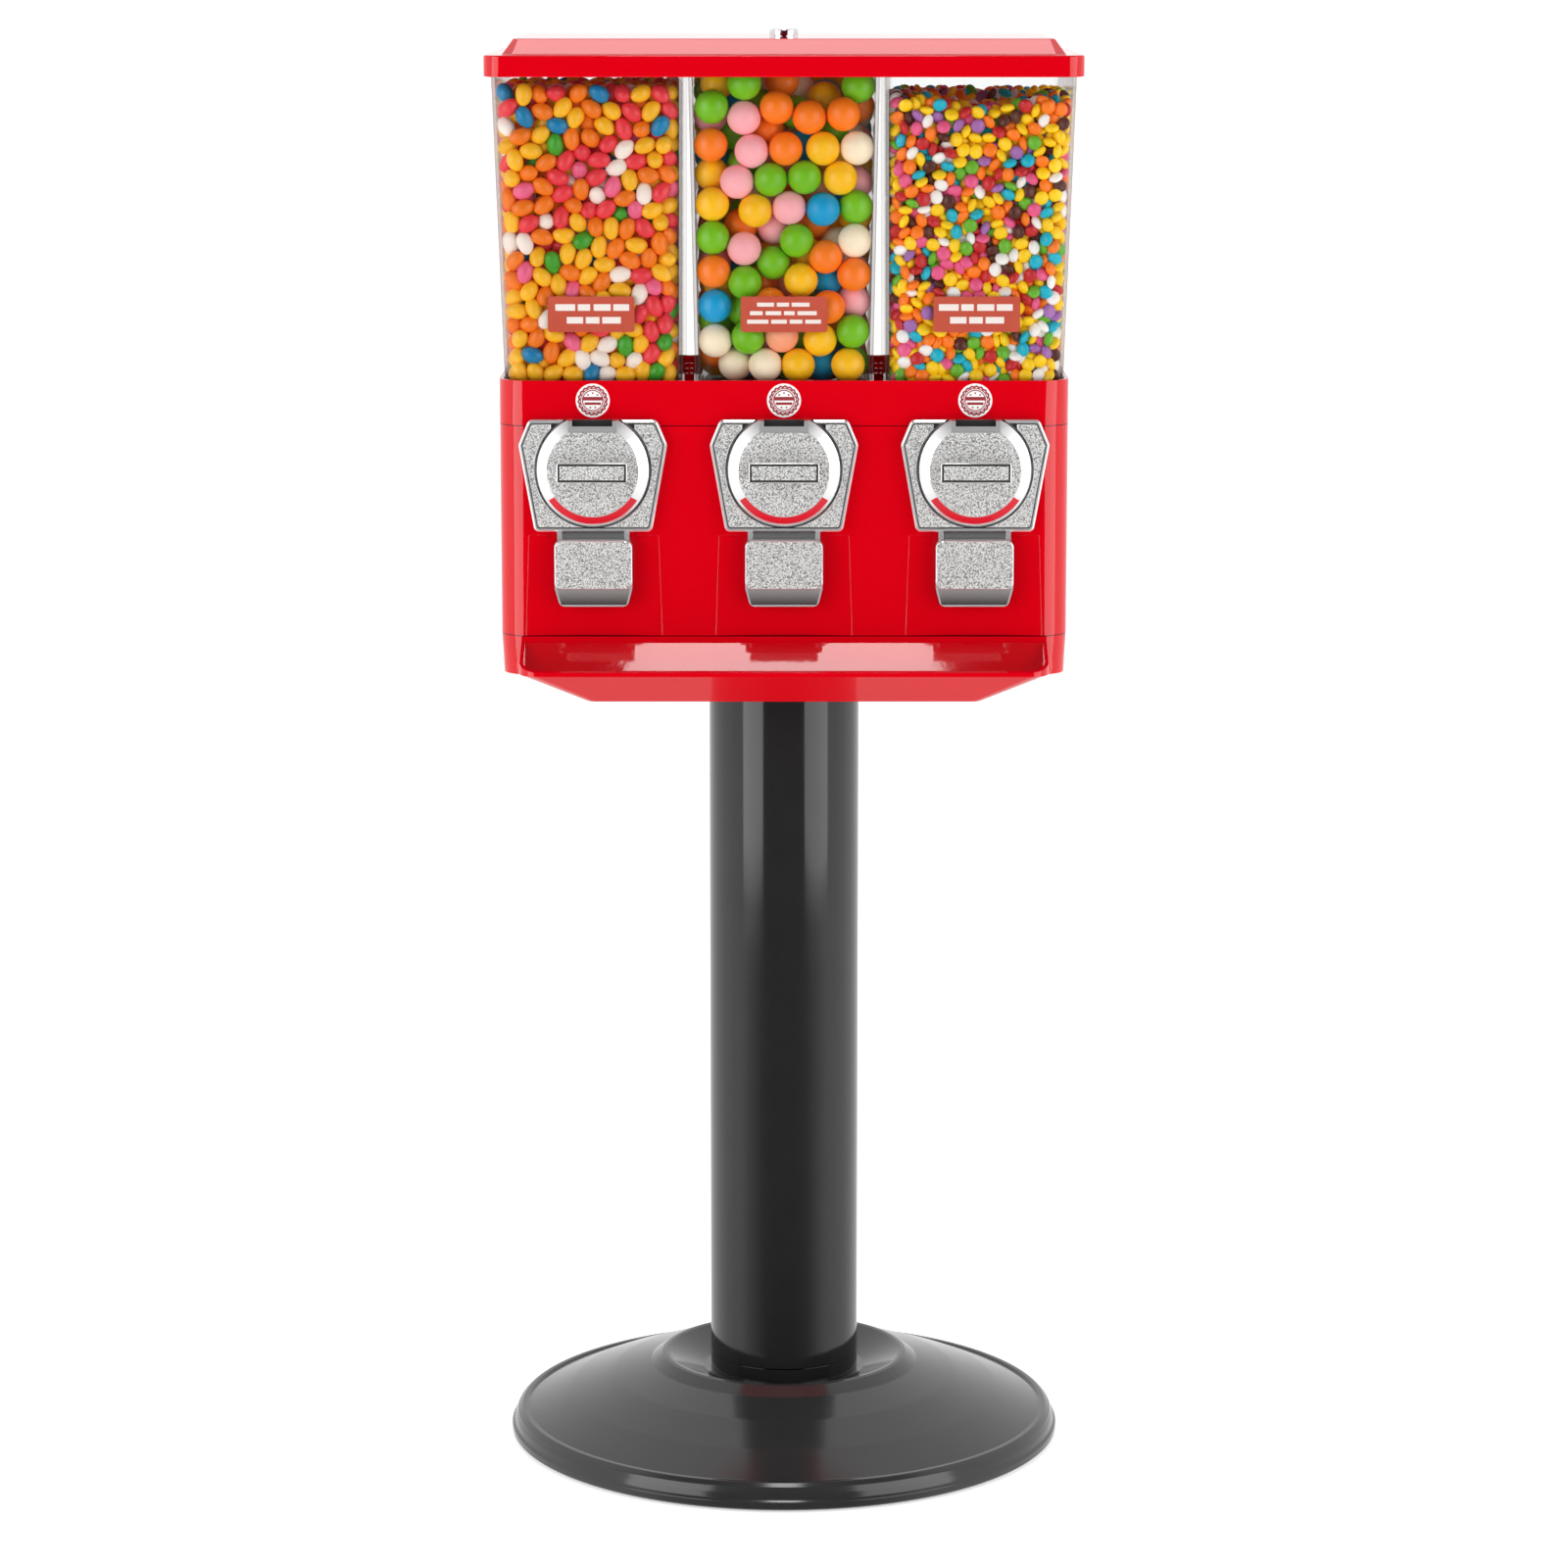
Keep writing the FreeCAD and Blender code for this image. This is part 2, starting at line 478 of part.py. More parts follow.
def outlet_guard(x):
    """A fixed sector above the wheel, so that only the pocket that has moved under it can empty down the chute."""
    z0, z1 = WHEEL_TOP_Z + 0.8, WHEEL_TOP_Z + 2.6
    sector = Part.makeCylinder(WELL_R, z1 - z0, V(x, 0, z0), Z_AXIS, 76).cut(rod_z(9, z0, z1, x))
    sector.rotate(V(x, 0, 0), Z_AXIS, -90 - 38)
    return sector


# ---- coin mechanism -----------------------------------------------------------------------------------------------

PLATE_TOP_Z, PLATE_WIDE_Z, PLATE_BOTTOM_Z = SHAFT_Z + 35.3, SHAFT_Z + 17.7, SHAFT_Z - 43.8
PLATE_HALF_TOP, PLATE_HALF_WIDE, PLATE_HALF_BOTTOM = 45.2, 52.5, 41.5
PLATE_BACK_Y = FRONT_Y
PLATE_FACE_Y = FRONT_Y - 5.0
PLATE_RIM_Y = FRONT_Y - PLATE_T
DIAL_BACK_Y, DIAL_EDGE_Y, DIAL_FACE_Y = FRONT_Y - 2.3, FRONT_Y - 9.0, FRONT_Y - 14.2
DIAL_FLAT_Z = 35.4              # the dial's flat, level with the plate's top edge
HANDLE_HALF_W, HANDLE_HALF_H, HANDLE_FRONT_Y = 24.8, 7.0, FRONT_Y - 27.0
SLOT_HALF_W, NOTCH_HALF_W, NOTCH_Z = 14.2, 17.2, 27.2
EAR_X0, EAR_X1 = 22.0, 25.5


def plate_outline():
    return [(-PLATE_HALF_TOP, PLATE_TOP_Z), (PLATE_HALF_TOP, PLATE_TOP_Z), (PLATE_HALF_WIDE, PLATE_WIDE_Z),
            (PLATE_HALF_BOTTOM, PLATE_BOTTOM_Z), (-PLATE_HALF_BOTTOM, PLATE_BOTTOM_Z),
            (-PLATE_HALF_WIDE, PLATE_WIDE_Z)]


def round_corners(shape, radius):
    return fillet_along(shape, radius, Y_AXIS)


def coin_plate(x):
    """The cast front plate: a bevelled rim, a raised textured field in a U round the dial, and the door's two ears."""
    outline = plate_outline()
    base = round_corners(prism_y(outline, PLATE_FACE_Y, PLATE_BACK_Y), 4)
    rim = round_corners(prism_y(outline, PLATE_RIM_Y, PLATE_FACE_Y), 4)
    front_edges = [e for e in rim.Edges if e.BoundBox.YMax < PLATE_RIM_Y + 0.01]
    rim = rim.makeChamfer(1.3, front_edges).cut(round_corners(prism_y(inset(outline, 2.2), -140, PLATE_FACE_Y), 2.5))
    field = round_corners(prism_y(inset(outline, 3.0), PLATE_RIM_Y + 0.3, PLATE_FACE_Y), 2.2)
    gap = box(-29.5, 29.5, -140, PLATE_FACE_Y, PLATE_WIDE_Z, PLATE_TOP_Z + 5)
    field = field.cut(rod_y(DIAL_WELL_R + 0.6, -140, PLATE_FACE_Y, z=SHAFT_Z)).cut(gap)
    field = field.makeChamfer(0.45, [e for e in field.Edges if e.BoundBox.YMax < PLATE_RIM_Y + 0.31])
    plate = fuse(base, rim, field)
    plate = plate.cut(rod_y(DIAL_WELL_R, -140, DIAL_BACK_Y + 0.3, z=SHAFT_Z))
    top_notch = box(-NOTCH_HALF_W - 2, NOTCH_HALF_W + 2, -140, DIAL_BACK_Y + 0.3, SHAFT_Z, PLATE_TOP_Z + 1)
    plate = plate.cut(top_notch)
    plate = plate.cut(rod_y(SHAFT_R + RUNNING_GAP, -140, PLATE_BACK_Y + 1, z=SHAFT_Z))
    for side in (-1, 1):
        x0, x1 = sorted((side * EAR_X0, side * EAR_X1))
        ear = box(x0, x1, DOOR_PIN_Y - 3, PLATE_BACK_Y, DOOR_PIN_Z - 2.4, PLATE_BOTTOM_Z + 1)
        ear = ear.cut(box(-60, 60, -140, PLATE_RIM_Y + 1.4, PLATE_BOTTOM_Z, PLATE_BOTTOM_Z + 5))
        plate = fuse(plate, ear)
    plate = plate.cut(rod_x(DOOR_PIN_R, -60, 60, y=DOOR_PIN_Y, z=DOOR_PIN_Z))
    plate.translate(V(x, 0, 0))
    return plate


def dial(x):
    """The knob: a textured face in a polished cone ring, a thumb bar, and the coin pocket in its top edge."""
    body = rod_y(DIAL_R, DIAL_EDGE_Y, DIAL_BACK_Y)
    cone = Part.makeCone(DIAL_R, DIAL_FACE_R, DIAL_EDGE_Y - DIAL_FACE_Y, V(0, DIAL_EDGE_Y, 0), V(0, -1, 0))
    knob = fuse(body, cone)
    knob = knob.cut(box(-NOTCH_HALF_W, NOTCH_HALF_W, -140, FRONT_Y - 11.6, NOTCH_Z, 50))
    pocket = box(-SLOT_HALF_W, SLOT_HALF_W, FRONT_Y - 11.6, FRONT_Y - 8.9, 14.0, 50)
    lip = box(-NOTCH_HALF_W, NOTCH_HALF_W, FRONT_Y - 13.8, FRONT_Y - 11.6, NOTCH_Z + 0.6, 31.6)
    lugs = [box(min(s * SLOT_HALF_W, s * NOTCH_HALF_W), max(s * SLOT_HALF_W, s * NOTCH_HALF_W),
                FRONT_Y - 13.8, FRONT_Y - 8.9, NOTCH_Z + 0.6, 35.4) for s in (-1, 1)]
    lip_foot = box(-NOTCH_HALF_W, NOTCH_HALF_W, FRONT_Y - 12.8, FRONT_Y - 11.6, NOTCH_Z - 1, NOTCH_Z + 1)
    knob = fuse(knob.cut(pocket), lip, lip_foot, *lugs)
    knob = knob.cut(box(-SLOT_HALF_W, SLOT_HALF_W, FRONT_Y - 11.6, FRONT_Y - 8.9, 14.0, 50))
    bar = box(-HANDLE_HALF_W, HANDLE_HALF_W, HANDLE_FRONT_Y, DIAL_FACE_Y + 1, -HANDLE_HALF_H, HANDLE_HALF_H)
    bar = fillet_along(bar, 1.6, Y_AXIS)
    bar = bar.makeChamfer(0.7, [e for e in bar.Edges if e.BoundBox.YMax < HANDLE_FRONT_Y + 0.01])
    knob = fuse(knob, bar)
    socket = box(-2.6, 2.6, FRONT_Y - 7.0, DIAL_BACK_Y + 1, -2.6, 2.6)
    knob = knob.cut(socket).cut(box(-50, 50, -140, FRONT_Y, DIAL_FLAT_Z, 50))
    knob.translate(V(x, 0, SHAFT_Z))
    return knob


SHAFT_END_Y = -46.6
COIN_WHEEL_Y0, COIN_WHEEL_T, COIN_WHEEL_R = -98.0, 3.0, 21.0
PINION_Y0, PINION_Y1 = -53.0, -47.6


def drive_shaft(x):
    """A round shaft with a square tip in the dial and a square tail in the pinion."""
    tip = box(-2.6, 2.6, FRONT_Y - 7.0, FRONT_Y - 0.5, -2.6, 2.6)
    middle = rod_y(SHAFT_R, FRONT_Y - 2.0, -57.0)
    tail = box(-2.6, 2.6, -57.5, SHAFT_END_Y, -2.6, 2.6)
    shaft = fuse(middle, tip, tail)
    shaft.translate(V(x, 0, SHAFT_Z))
    return shaft


def coin_wheel(x):
    """The wheel that carries the coin's edge: a disc with a coin notch at the top and a long hub."""
    disc = rod_y(COIN_WHEEL_R, COIN_WHEEL_Y0, COIN_WHEEL_Y0 + COIN_WHEEL_T)
    disc = disc.cut(rod_y(12.6, COIN_WHEEL_Y0 - 1, COIN_WHEEL_Y0 + COIN_WHEEL_T + 1, z=COIN_WHEEL_R + 1.0))
    hub = rod_y(9.0, COIN_WHEEL_Y0 + COIN_WHEEL_T - 0.5, COIN_WHEEL_Y0 + COIN_WHEEL_T + 6)
    wheel = fuse(disc, hub).cut(rod_y(SHAFT_R, -140, 0))
    wheel.translate(V(x, 0, SHAFT_Z))
    return wheel


def pinion(x):
    """Ten straight-sided teeth; one points straight up at rest, into a gap of the crown ring."""
    half = 0.185 * math.pi * MODULE
    slope = math.tan(math.radians(16))
    root_r, tip_r = PINION_PITCH_R - DEDENDUM, PINION_PITCH_R + ADDENDUM
    teeth = []
    for k in range(PINION_TEETH):
        points = [(-half - slope * DEDENDUM, root_r - 1), (half + slope * DEDENDUM, root_r - 1),
                  (half, PINION_PITCH_R), (half - slope * 1.25 * ADDENDUM, tip_r),
                  (-half + slope * 1.25 * ADDENDUM, tip_r), (-half, PINION_PITCH_R)]
        tooth = prism_y(points, PINION_Y0, PINION_Y1)
        tooth.rotate(V(0, 0, 0), Y_AXIS, 360.0 / PINION_TEETH * k)
        teeth.append(tooth)
    gear = rod_y(root_r, PINION_Y0, PINION_Y1).multiFuse(teeth).removeSplitter()
    gear = gear.cut(box(-2.6, 2.6, -60, -40, -2.6, 2.6))
    gear.translate(V(x, 0, SHAFT_Z))
    return gear


def mech_box(x):
    """The sheet-metal case behind the plate, open below so that coins fall out, with the shaft's two bearings."""
    w, t = MECH_HALF_W, 1.5
    case = box(-w, w, FRONT_Y + 0.1, -60, MECH_Z0, MECH_Z1).cut(box(-w + t, w - t, FRONT_Y + t, -60 - t,
                                                                    MECH_Z0 - 1, MECH_Z1 - t))
    bearing = rod_y(8, -60 - t, -57.6, z=SHAFT_Z)
    case = fuse(case, bearing).cut(rod_y(SHAFT_R + RUNNING_GAP, FRONT_Y - 1, -50, z=SHAFT_Z))
    case.translate(V(x, 0, 0))
    return case


# ---- chute and flap door ------------------------------------------------------------------------------------------

def chute(x):
    """A bent duct from the outlet under the wheel down to the door."""
    outer = prism_x([(-46, WELL_FLOOR_Z - 0.1), (-46, 708), (FRONT_Y + FRONT_T + 0.1, 689.5),
                     (FRONT_Y + FRONT_T + 0.1, 638.5), (-30, 659), (-12, 673), (-12, WELL_FLOOR_Z - 0.1)], -26, 26)
    inner = prism_x([(-44, 750), (-44, 706.8), (-106, 684.6), (-106, 639.6), (-31, 661.6), (-14, 674.8),
                     (-14, 750)], -24, 24)
    duct = outer.cut(inner)
    duct.translate(V(x, 0, 0))
    return duct


def door(x):
    """The cast flap: a flat textured face, a bent-back finger lip below, side flanges, and a knuckle on its pin."""
    half = DOOR_W / 2
    front, back = DOOR_FRONT_Y, DOOR_FRONT_Y + 10.2
    face = fillet_along(box(-half, half, front, front + 2.5, DOOR_BEND_Z, DOOR_TOP_Z), 5, Y_AXIS)
    face = face.makeChamfer(0.8, [e for e in face.Edges if e.BoundBox.YMax < front + 0.01])
    block = box(-half, half, front + 1.2, back, DOOR_BOTTOM_Z, DOOR_TOP_Z)
    sides = [(-half, DOOR_TOP_Z), (half, DOOR_TOP_Z), (half, DOOR_BEND_Z + 1), (half - 3.5, DOOR_BOTTOM_Z),
             (-half + 3.5, DOOR_BOTTOM_Z), (-half, DOOR_BEND_Z + 1)]
    block = block.common(fillet_along(prism_y(sides, front, back + 1), 4.5, Y_AXIS))
    block = block.cut(prism_x([(front, DOOR_BEND_Z + 1.2), (front + 1.2, DOOR_BEND_Z + 1.2),
                               (front + 6.0, DOOR_BOTTOM_Z - 0.1), (front, DOOR_BOTTOM_Z - 0.1)], -half, half))
    shell = fuse(face, block)
    hollow = box(-half + 2.5, half - 2.5, front + 2.5, back + 10, DOOR_BEND_Z + 2, DOOR_TOP_Z - 2.5)
    lip_hollow = prism_x([(front + 2.5, DOOR_BEND_Z + 3), (front + 4.2, DOOR_BEND_Z - 1),
                          (front + 8.0, DOOR_BOTTOM_Z + 2), (back + 10, DOOR_BOTTOM_Z + 2),
                          (back + 10, DOOR_BEND_Z + 3)], -half + 6.5, half - 6.5)
    knuckle = rod_x(2.8, -EAR_X0 + 0.4, EAR_X0 - 0.4, y=DOOR_PIN_Y, z=DOOR_PIN_Z)
    for side in (-1, 1):
        x0, x1 = sorted((side * (EAR_X0 - 0.4), side * (EAR_X1 + 0.4)))
        notch = rod_x(4.9, x0, x1, y=DOOR_PIN_Y, z=DOOR_PIN_Z)
        shell = shell.cut(notch.cut(box(-60, 60, front - 5, front + 2.5, 600, 700)))
    neck = box(-EAR_X0 + 0.4, EAR_X0 - 0.4, DOOR_PIN_Y - 2.4, DOOR_PIN_Y + 1.6, DOOR_TOP_Z - 2.6, DOOR_PIN_Z)
    flap = fuse(shell.cut(hollow).cut(lip_hollow), knuckle, neck)
    flap = flap.cut(rod_x(DOOR_PIN_R + RUNNING_GAP, -60, 60, y=DOOR_PIN_Y, z=DOOR_PIN_Z))
    flap.translate(V(x, 0, 0))
    return flap


def door_pin(x):
    return rod_x(DOOR_PIN_R, x - EAR_X1, x + EAR_X1, y=DOOR_PIN_Y, z=DOOR_PIN_Z)


# ---- labels -------------------------------------------------------------------------------------------------------

PRICE_LABEL_R, PRICE_LABEL_Z = 12.0, 786.0
CARD_W, CARD_H, CARD_Z = 61.0, 25.0, 846.5


def canister_card(x):
    """A thin printed card stuck to the canister's sloping front."""
    share = (CARD_Z - DECK_FLOOR_Z) / (CANISTER_TOP_Z - DECK_FLOOR_Z)
    lean = math.copysign(CANISTER_LEAN, x) if x else 0.0
    rise = (CANISTER_TOP_D - CANISTER_BASE_D) / 2
    card = fillet_along(box(-CARD_W / 2, CARD_W / 2, -0.4, 0, -CARD_H / 2, CARD_H / 2), 2, Y_AXIS)
    card.rotate(V(0, 0, 0), X_AXIS, math.degrees(math.atan2(rise, CANISTER_TOP_Z - DECK_FLOOR_Z)))
    card.translate(V(x + lean * share, -CANISTER_BASE_D / 2 - rise * share - 0.02, CARD_Z))
    return card


# ---- build --------------------------------------------------------------------------------------------------------

CANDY_POCKETS, CANDY_POCKET_R = 8, 9.0
GUM_POCKETS, GUM_POCKET_R = 6, 13.2


def main():
    os.makedirs("parts", exist_ok=True)
    base_parts()
    bolt_places = pole_parts()
    save("bottom_pan", bottom_pan(bolt_places))
    save("cash_tray", cash_tray())
    save("main_housing", main_housing())
    save("top_deck", top_deck())
    save("lid", lid())
    save("lid_lock", lid_lock())
    for side, x in UNITS.items():
        gum = side == "centre"
        save(f"canister_{side}", canister(x))
        save(f"dispensing_wheel_{side}", dispensing_wheel(x, GUM_POCKETS if gum else CANDY_POCKETS,
                                                          GUM_POCKET_R if gum else CANDY_POCKET_R))
        save(f"agitator_{side}", agitator(x))
        save(f"outlet_guard_{side}", outlet_guard(x))
        save(f"coin_plate_{side}", coin_plate(x))
        save(f"dial_{side}", dial(x))
        save(f"drive_shaft_{side}", drive_shaft(x))
        save(f"coin_wheel_{side}", coin_wheel(x))
        save(f"pinion_{side}", pinion(x))
        save(f"mech_box_{side}", mech_box(x))
        save(f"chute_{side}", chute(x))
        save(f"door_{side}", door(x))
        save(f"door_pin_{side}", door_pin(x))
    axles = [rod_z(AXLE_R, WELL_FLOOR_Z, WHEEL_TOP_Z + 9, UNITS[s]) for s in ("left", "right")]
    save("wheel_axles", *axles)
    save("price_labels", *[rod_y(PRICE_LABEL_R, FRONT_Y - 0.3, FRONT_Y, x, PRICE_LABEL_Z) for x in UNITS.values()])
    save("canister_cards", *[canister_card(x) for x in UNITS.values()])
    rod_top = LID_TOP_Z - 1
    save("lock_rod", fuse(rod_z(AXLE_R, WELL_FLOOR_Z, WHEEL_TOP_Z + 9), rod_z(ROD_R, WELL_FLOOR_Z, rod_top)))
    save("rod_nut", hexagon(7, 1003, 1009, bore=ROD_R))


main()
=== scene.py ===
"""Looks of the three-canister candy vending machine, round its CAD frame. Metres, +Z up, front -Y."""

import math

import bpy
import numpy as np
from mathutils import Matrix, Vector


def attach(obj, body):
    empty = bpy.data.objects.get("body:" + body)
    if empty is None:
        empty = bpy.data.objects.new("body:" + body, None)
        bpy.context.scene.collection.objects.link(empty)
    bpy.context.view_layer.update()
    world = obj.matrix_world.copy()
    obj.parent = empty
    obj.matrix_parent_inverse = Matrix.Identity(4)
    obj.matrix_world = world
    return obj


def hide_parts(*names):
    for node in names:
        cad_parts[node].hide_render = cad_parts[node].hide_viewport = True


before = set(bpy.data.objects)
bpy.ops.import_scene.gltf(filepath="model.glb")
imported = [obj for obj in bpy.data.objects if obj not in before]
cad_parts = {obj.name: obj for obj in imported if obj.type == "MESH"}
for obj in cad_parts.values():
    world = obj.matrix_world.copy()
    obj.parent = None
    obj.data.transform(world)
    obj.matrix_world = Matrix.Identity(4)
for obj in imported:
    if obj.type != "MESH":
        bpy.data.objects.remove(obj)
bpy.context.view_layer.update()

ROOT = "stand_and_head"
SIDES = {"left": -0.135, "centre": 0.0, "right": 0.135}
MM = 0.001
FRONT_Y = -0.104                # front of the housing
SHAFT_Z = 0.7374                # height of the dials' axes
FIELD_Y = -0.1107               # front of the coin plates' raised texture
LABEL_Z = 0.786                 # height of the round labels' centres
CARD_Z = 0.8465                 # height of the cards' centres
HALF_PITCH = 0.0675             # half the distance between neighbouring units
SHELL_JOINTS = (0.768, 0.618)   # heights of the joints between the red shells
FOOT_JOINT = 0.060              # height of the joint between the pole and its foot


# ---- shader helpers ------------------------------------------------------------------------------

class Nodes:
    """A material under construction: one Principled shader and short ways to add nodes to it."""

    def __init__(self, name, **values):
        self.material = bpy.data.materials.new(name)
        self.material.use_nodes = True
        self.tree = self.material.node_tree
        self.tree.nodes.clear()
        self.out = self.tree.nodes.new("ShaderNodeOutputMaterial")
        self.shader = self.tree.nodes.new("ShaderNodeBsdfPrincipled")
        self.link(self.shader.outputs[0], self.out.inputs["Surface"])
        for socket, value in values.items():
            self.set(socket.replace("_", " "), value)
        self.place = self.tree.nodes.new("ShaderNodeTexCoord")

    def set(self, socket, value):
        target = self.shader.inputs[socket]
        if isinstance(value, (tuple, list)) and len(value) == 3 and len(target.default_value) == 4:
            value = (*value, 1.0)
        target.default_value = value

    def link(self, a, b):
        self.tree.links.new(a, b)

    def feed(self, node_input, value):
        if isinstance(value, bpy.types.NodeSocket):
            self.link(value, node_input)
        else:
            node_input.default_value = value

    def math(self, operation, a, b=None, c=None):
        node = self.tree.nodes.new("ShaderNodeMath")
        node.operation = operation
        for i, value in enumerate((a, b, c)):
            if value is not None:
                self.feed(node.inputs[i], value)
        return node.outputs[0]

    def noise(self, scale, detail=2.0, roughness=0.5, vector=None):
        node = self.tree.nodes.new("ShaderNodeTexNoise")
        node.inputs["Scale"].default_value = scale
        node.inputs["Detail"].default_value = detail
        node.inputs["Roughness"].default_value = roughness
        self.link(vector or self.place.outputs["Object"], node.inputs["Vector"])
        return node.outputs["Fac"]

    def voronoi(self, scale, feature="F1", vector=None):
        node = self.tree.nodes.new("ShaderNodeTexVoronoi")
        node.feature = feature
        node.inputs["Scale"].default_value = scale
        self.link(vector or self.place.outputs["Object"], node.inputs["Vector"])
        return node.outputs["Distance"]

    def ramp(self, value, low, high, to_low, to_high, smooth=False):
        node = self.tree.nodes.new("ShaderNodeMapRange")
        node.interpolation_type = "SMOOTHSTEP" if smooth else "LINEAR"
        self.feed(node.inputs["Value"], value)
        for name, number in (("From Min", low), ("From Max", high), ("To Min", to_low), ("To Max", to_high)):
            self.feed(node.inputs[name], number)
        return node.outputs["Result"]

    def mix(self, share, a, b):
        node = self.tree.nodes.new("ShaderNodeMix")
        node.data_type = "RGBA"
        self.feed(node.inputs[0], share)
        for socket, value in ((node.inputs[6], a), (node.inputs[7], b)):
            self.feed(socket, (*value, 1.0) if isinstance(value, tuple) and len(value) == 3 else value)
        return node.outputs[2]

    def axes(self, output="Object"):
        node = self.tree.nodes.new("ShaderNodeSeparateXYZ")
        self.link(self.place.outputs[output], node.inputs[0])
        return node.outputs

    def colour(self, value):
        self.link(value, self.shader.inputs["Base Color"])

    def rough(self, value):
        self.link(value, self.shader.inputs["Roughness"])

    def fed(self, socket):
        """What already feeds one of the shader's sockets."""
        return self.shader.inputs[socket].links[0].from_socket

    def metallic(self, value):
        self.link(value, self.shader.inputs["Metallic"])

    def bump(self, height, distance, strength):
        node = self.tree.nodes.new("ShaderNodeBump")
        node.inputs["Distance"].default_value = distance
        node.inputs["Strength"].default_value = strength
        self.link(height, node.inputs["Height"])
        self.link(node.outputs[0], self.shader.inputs["Normal"])


def shade(colour, factor):
    return tuple(min(1.0, c * factor) for c in colour)


def red_plastic():
    """Glossy moulded red, with the dark joint lines between the three shells."""
    m = Nodes("red_plastic_gloss", IOR=1.5)
    red = (0.6, 0.0003, 0.0062)
    z = m.axes()[2]
    body = m.mix(m.noise(9.0, 3.0), shade(red, 0.95), shade(red, 1.04))
    for height in SHELL_JOINTS:
        joint = m.math("LESS_THAN", m.math("ABSOLUTE", m.math("SUBTRACT", z, height)), 0.00042)
        body = m.mix(joint, body, (0.16, 0.0, 0.004))
    m.colour(body)
    m.rough(m.ramp(m.noise(55.0, 4.0), 0.3, 0.7, 0.03, 0.055))
    m.bump(m.noise(180.0, 2.0), 0.00006, 0.3)
    return m.material


def black_steel(name, deep, gloss):
    """Smooth satin-gloss black, with the dark joint between the pole and its foot."""
    m = Nodes(name, IOR=1.5)
    z = m.axes()[2]
    light = deep * 1.3
    coat = m.mix(m.noise(30.0, 3.0), (deep, deep, deep * 1.03), (light, light, deep * 1.33))
    joint = m.math("LESS_THAN", m.math("ABSOLUTE", m.math("SUBTRACT", z, FOOT_JOINT)), 0.0005)
    m.colour(m.mix(joint, coat, (0.0015, 0.0015, 0.0015)))
    m.rough(m.ramp(m.noise(24.0, 4.0), 0.3, 0.7, gloss, gloss + 0.04))
    m.bump(m.noise(1100.0, 2.0), 0.00002, 0.3)
    return m.material


POLISH = (0.93, 0.93, 0.935)
PEBBLE_SCALE = 1020.0
POLISHED_ROUGH, PEBBLED_ROUGH = 0.08, 0.38


def pebbled(m, mask, dark):
    """Pebble grain where mask is 1, polished metal where it is 0, and painted shade, near black, where dark
    is 1.
    """
    tilt = m.tree.nodes.new("ShaderNodeMapping")    # keeps the flat faces off the noise's lattice planes
    tilt.inputs["Rotation"].default_value = (0.6, 0.4, 0.3)
    m.link(m.place.outputs["Object"], tilt.inputs["Vector"])
    lumps = m.voronoi(PEBBLE_SCALE, "SMOOTH_F1", vector=tilt.outputs[0])
    fine = m.noise(1.9 * PEBBLE_SCALE, 2.0, 0.6, vector=tilt.outputs[0])
    height = m.math("ADD", m.math("MULTIPLY", lumps, -1.0), m.math("MULTIPLY", fine, 0.8))
    # Painted shade and light: the grain's colour follows the bump's height, dark in the hollows and light on
    # the lumps.
    grain = m.ramp(height, -0.3, 0.2, 0.0, 1.0, True)
    field = m.mix(grain, (0.2, 0.197, 0.193), (0.97, 0.96, 0.95))
    field = m.mix(m.math("MULTIPLY", m.noise(45.0, 2.0), 0.2), field, (0.5, 0.495, 0.49))
    rough = m.math("MULTIPLY_ADD", mask, PEBBLED_ROUGH - POLISHED_ROUGH, POLISHED_ROUGH)
    metal = m.math("MULTIPLY_ADD", mask, -0.3, 0.7)
    # The near-black colour where dark is 1 is painted shade.
    m.colour(m.mix(dark, m.mix(mask, POLISH, field), (0.012, 0.012, 0.013)))
    m.rough(m.math("MAXIMUM", rough, m.math("MULTIPLY", dark, 0.6)))
    m.metallic(m.math("MULTIPLY", metal, m.math("SUBTRACT", 1.0, dark)))
    m.bump(m.math("MULTIPLY", height, mask), 0.0003, 0.8)


def within(m, value, low, high):
    """1 where value lies between two numbers."""
    return m.math("MULTIPLY", m.math("GREATER_THAN", value, low), m.math("LESS_THAN", value, high))


def forward(m):
    """1 on faces that look straight to the front."""
    return m.ramp(m.axes("Normal")[1], -0.995, -0.97, 1.0, 0.0)


def beside(m, value):
    """Signed distance from the middle of the nearest of the three units."""
    return m.math("WRAP", value, HALF_PITCH, -HALF_PITCH)


def across(m, value):
    return m.math("ABSOLUTE", beside(m, value))


def plate_metal():
    """Coin plate: a pebbled field, polished edges and painted shade in the groove round the field."""
    m = Nodes("coin_plate_cast")
    y = m.axes()[1]
    facing = forward(m)
    field = m.math("MULTIPLY", facing, within(m, y, FIELD_Y - 0.0002, FIELD_Y + 0.0002))
    # Painted shade: the groove round the field is coloured near black.
    groove = m.math("MULTIPLY", facing, within(m, y, -0.1094, -0.1060))
    pebbled(m, field, groove)
    return m.material


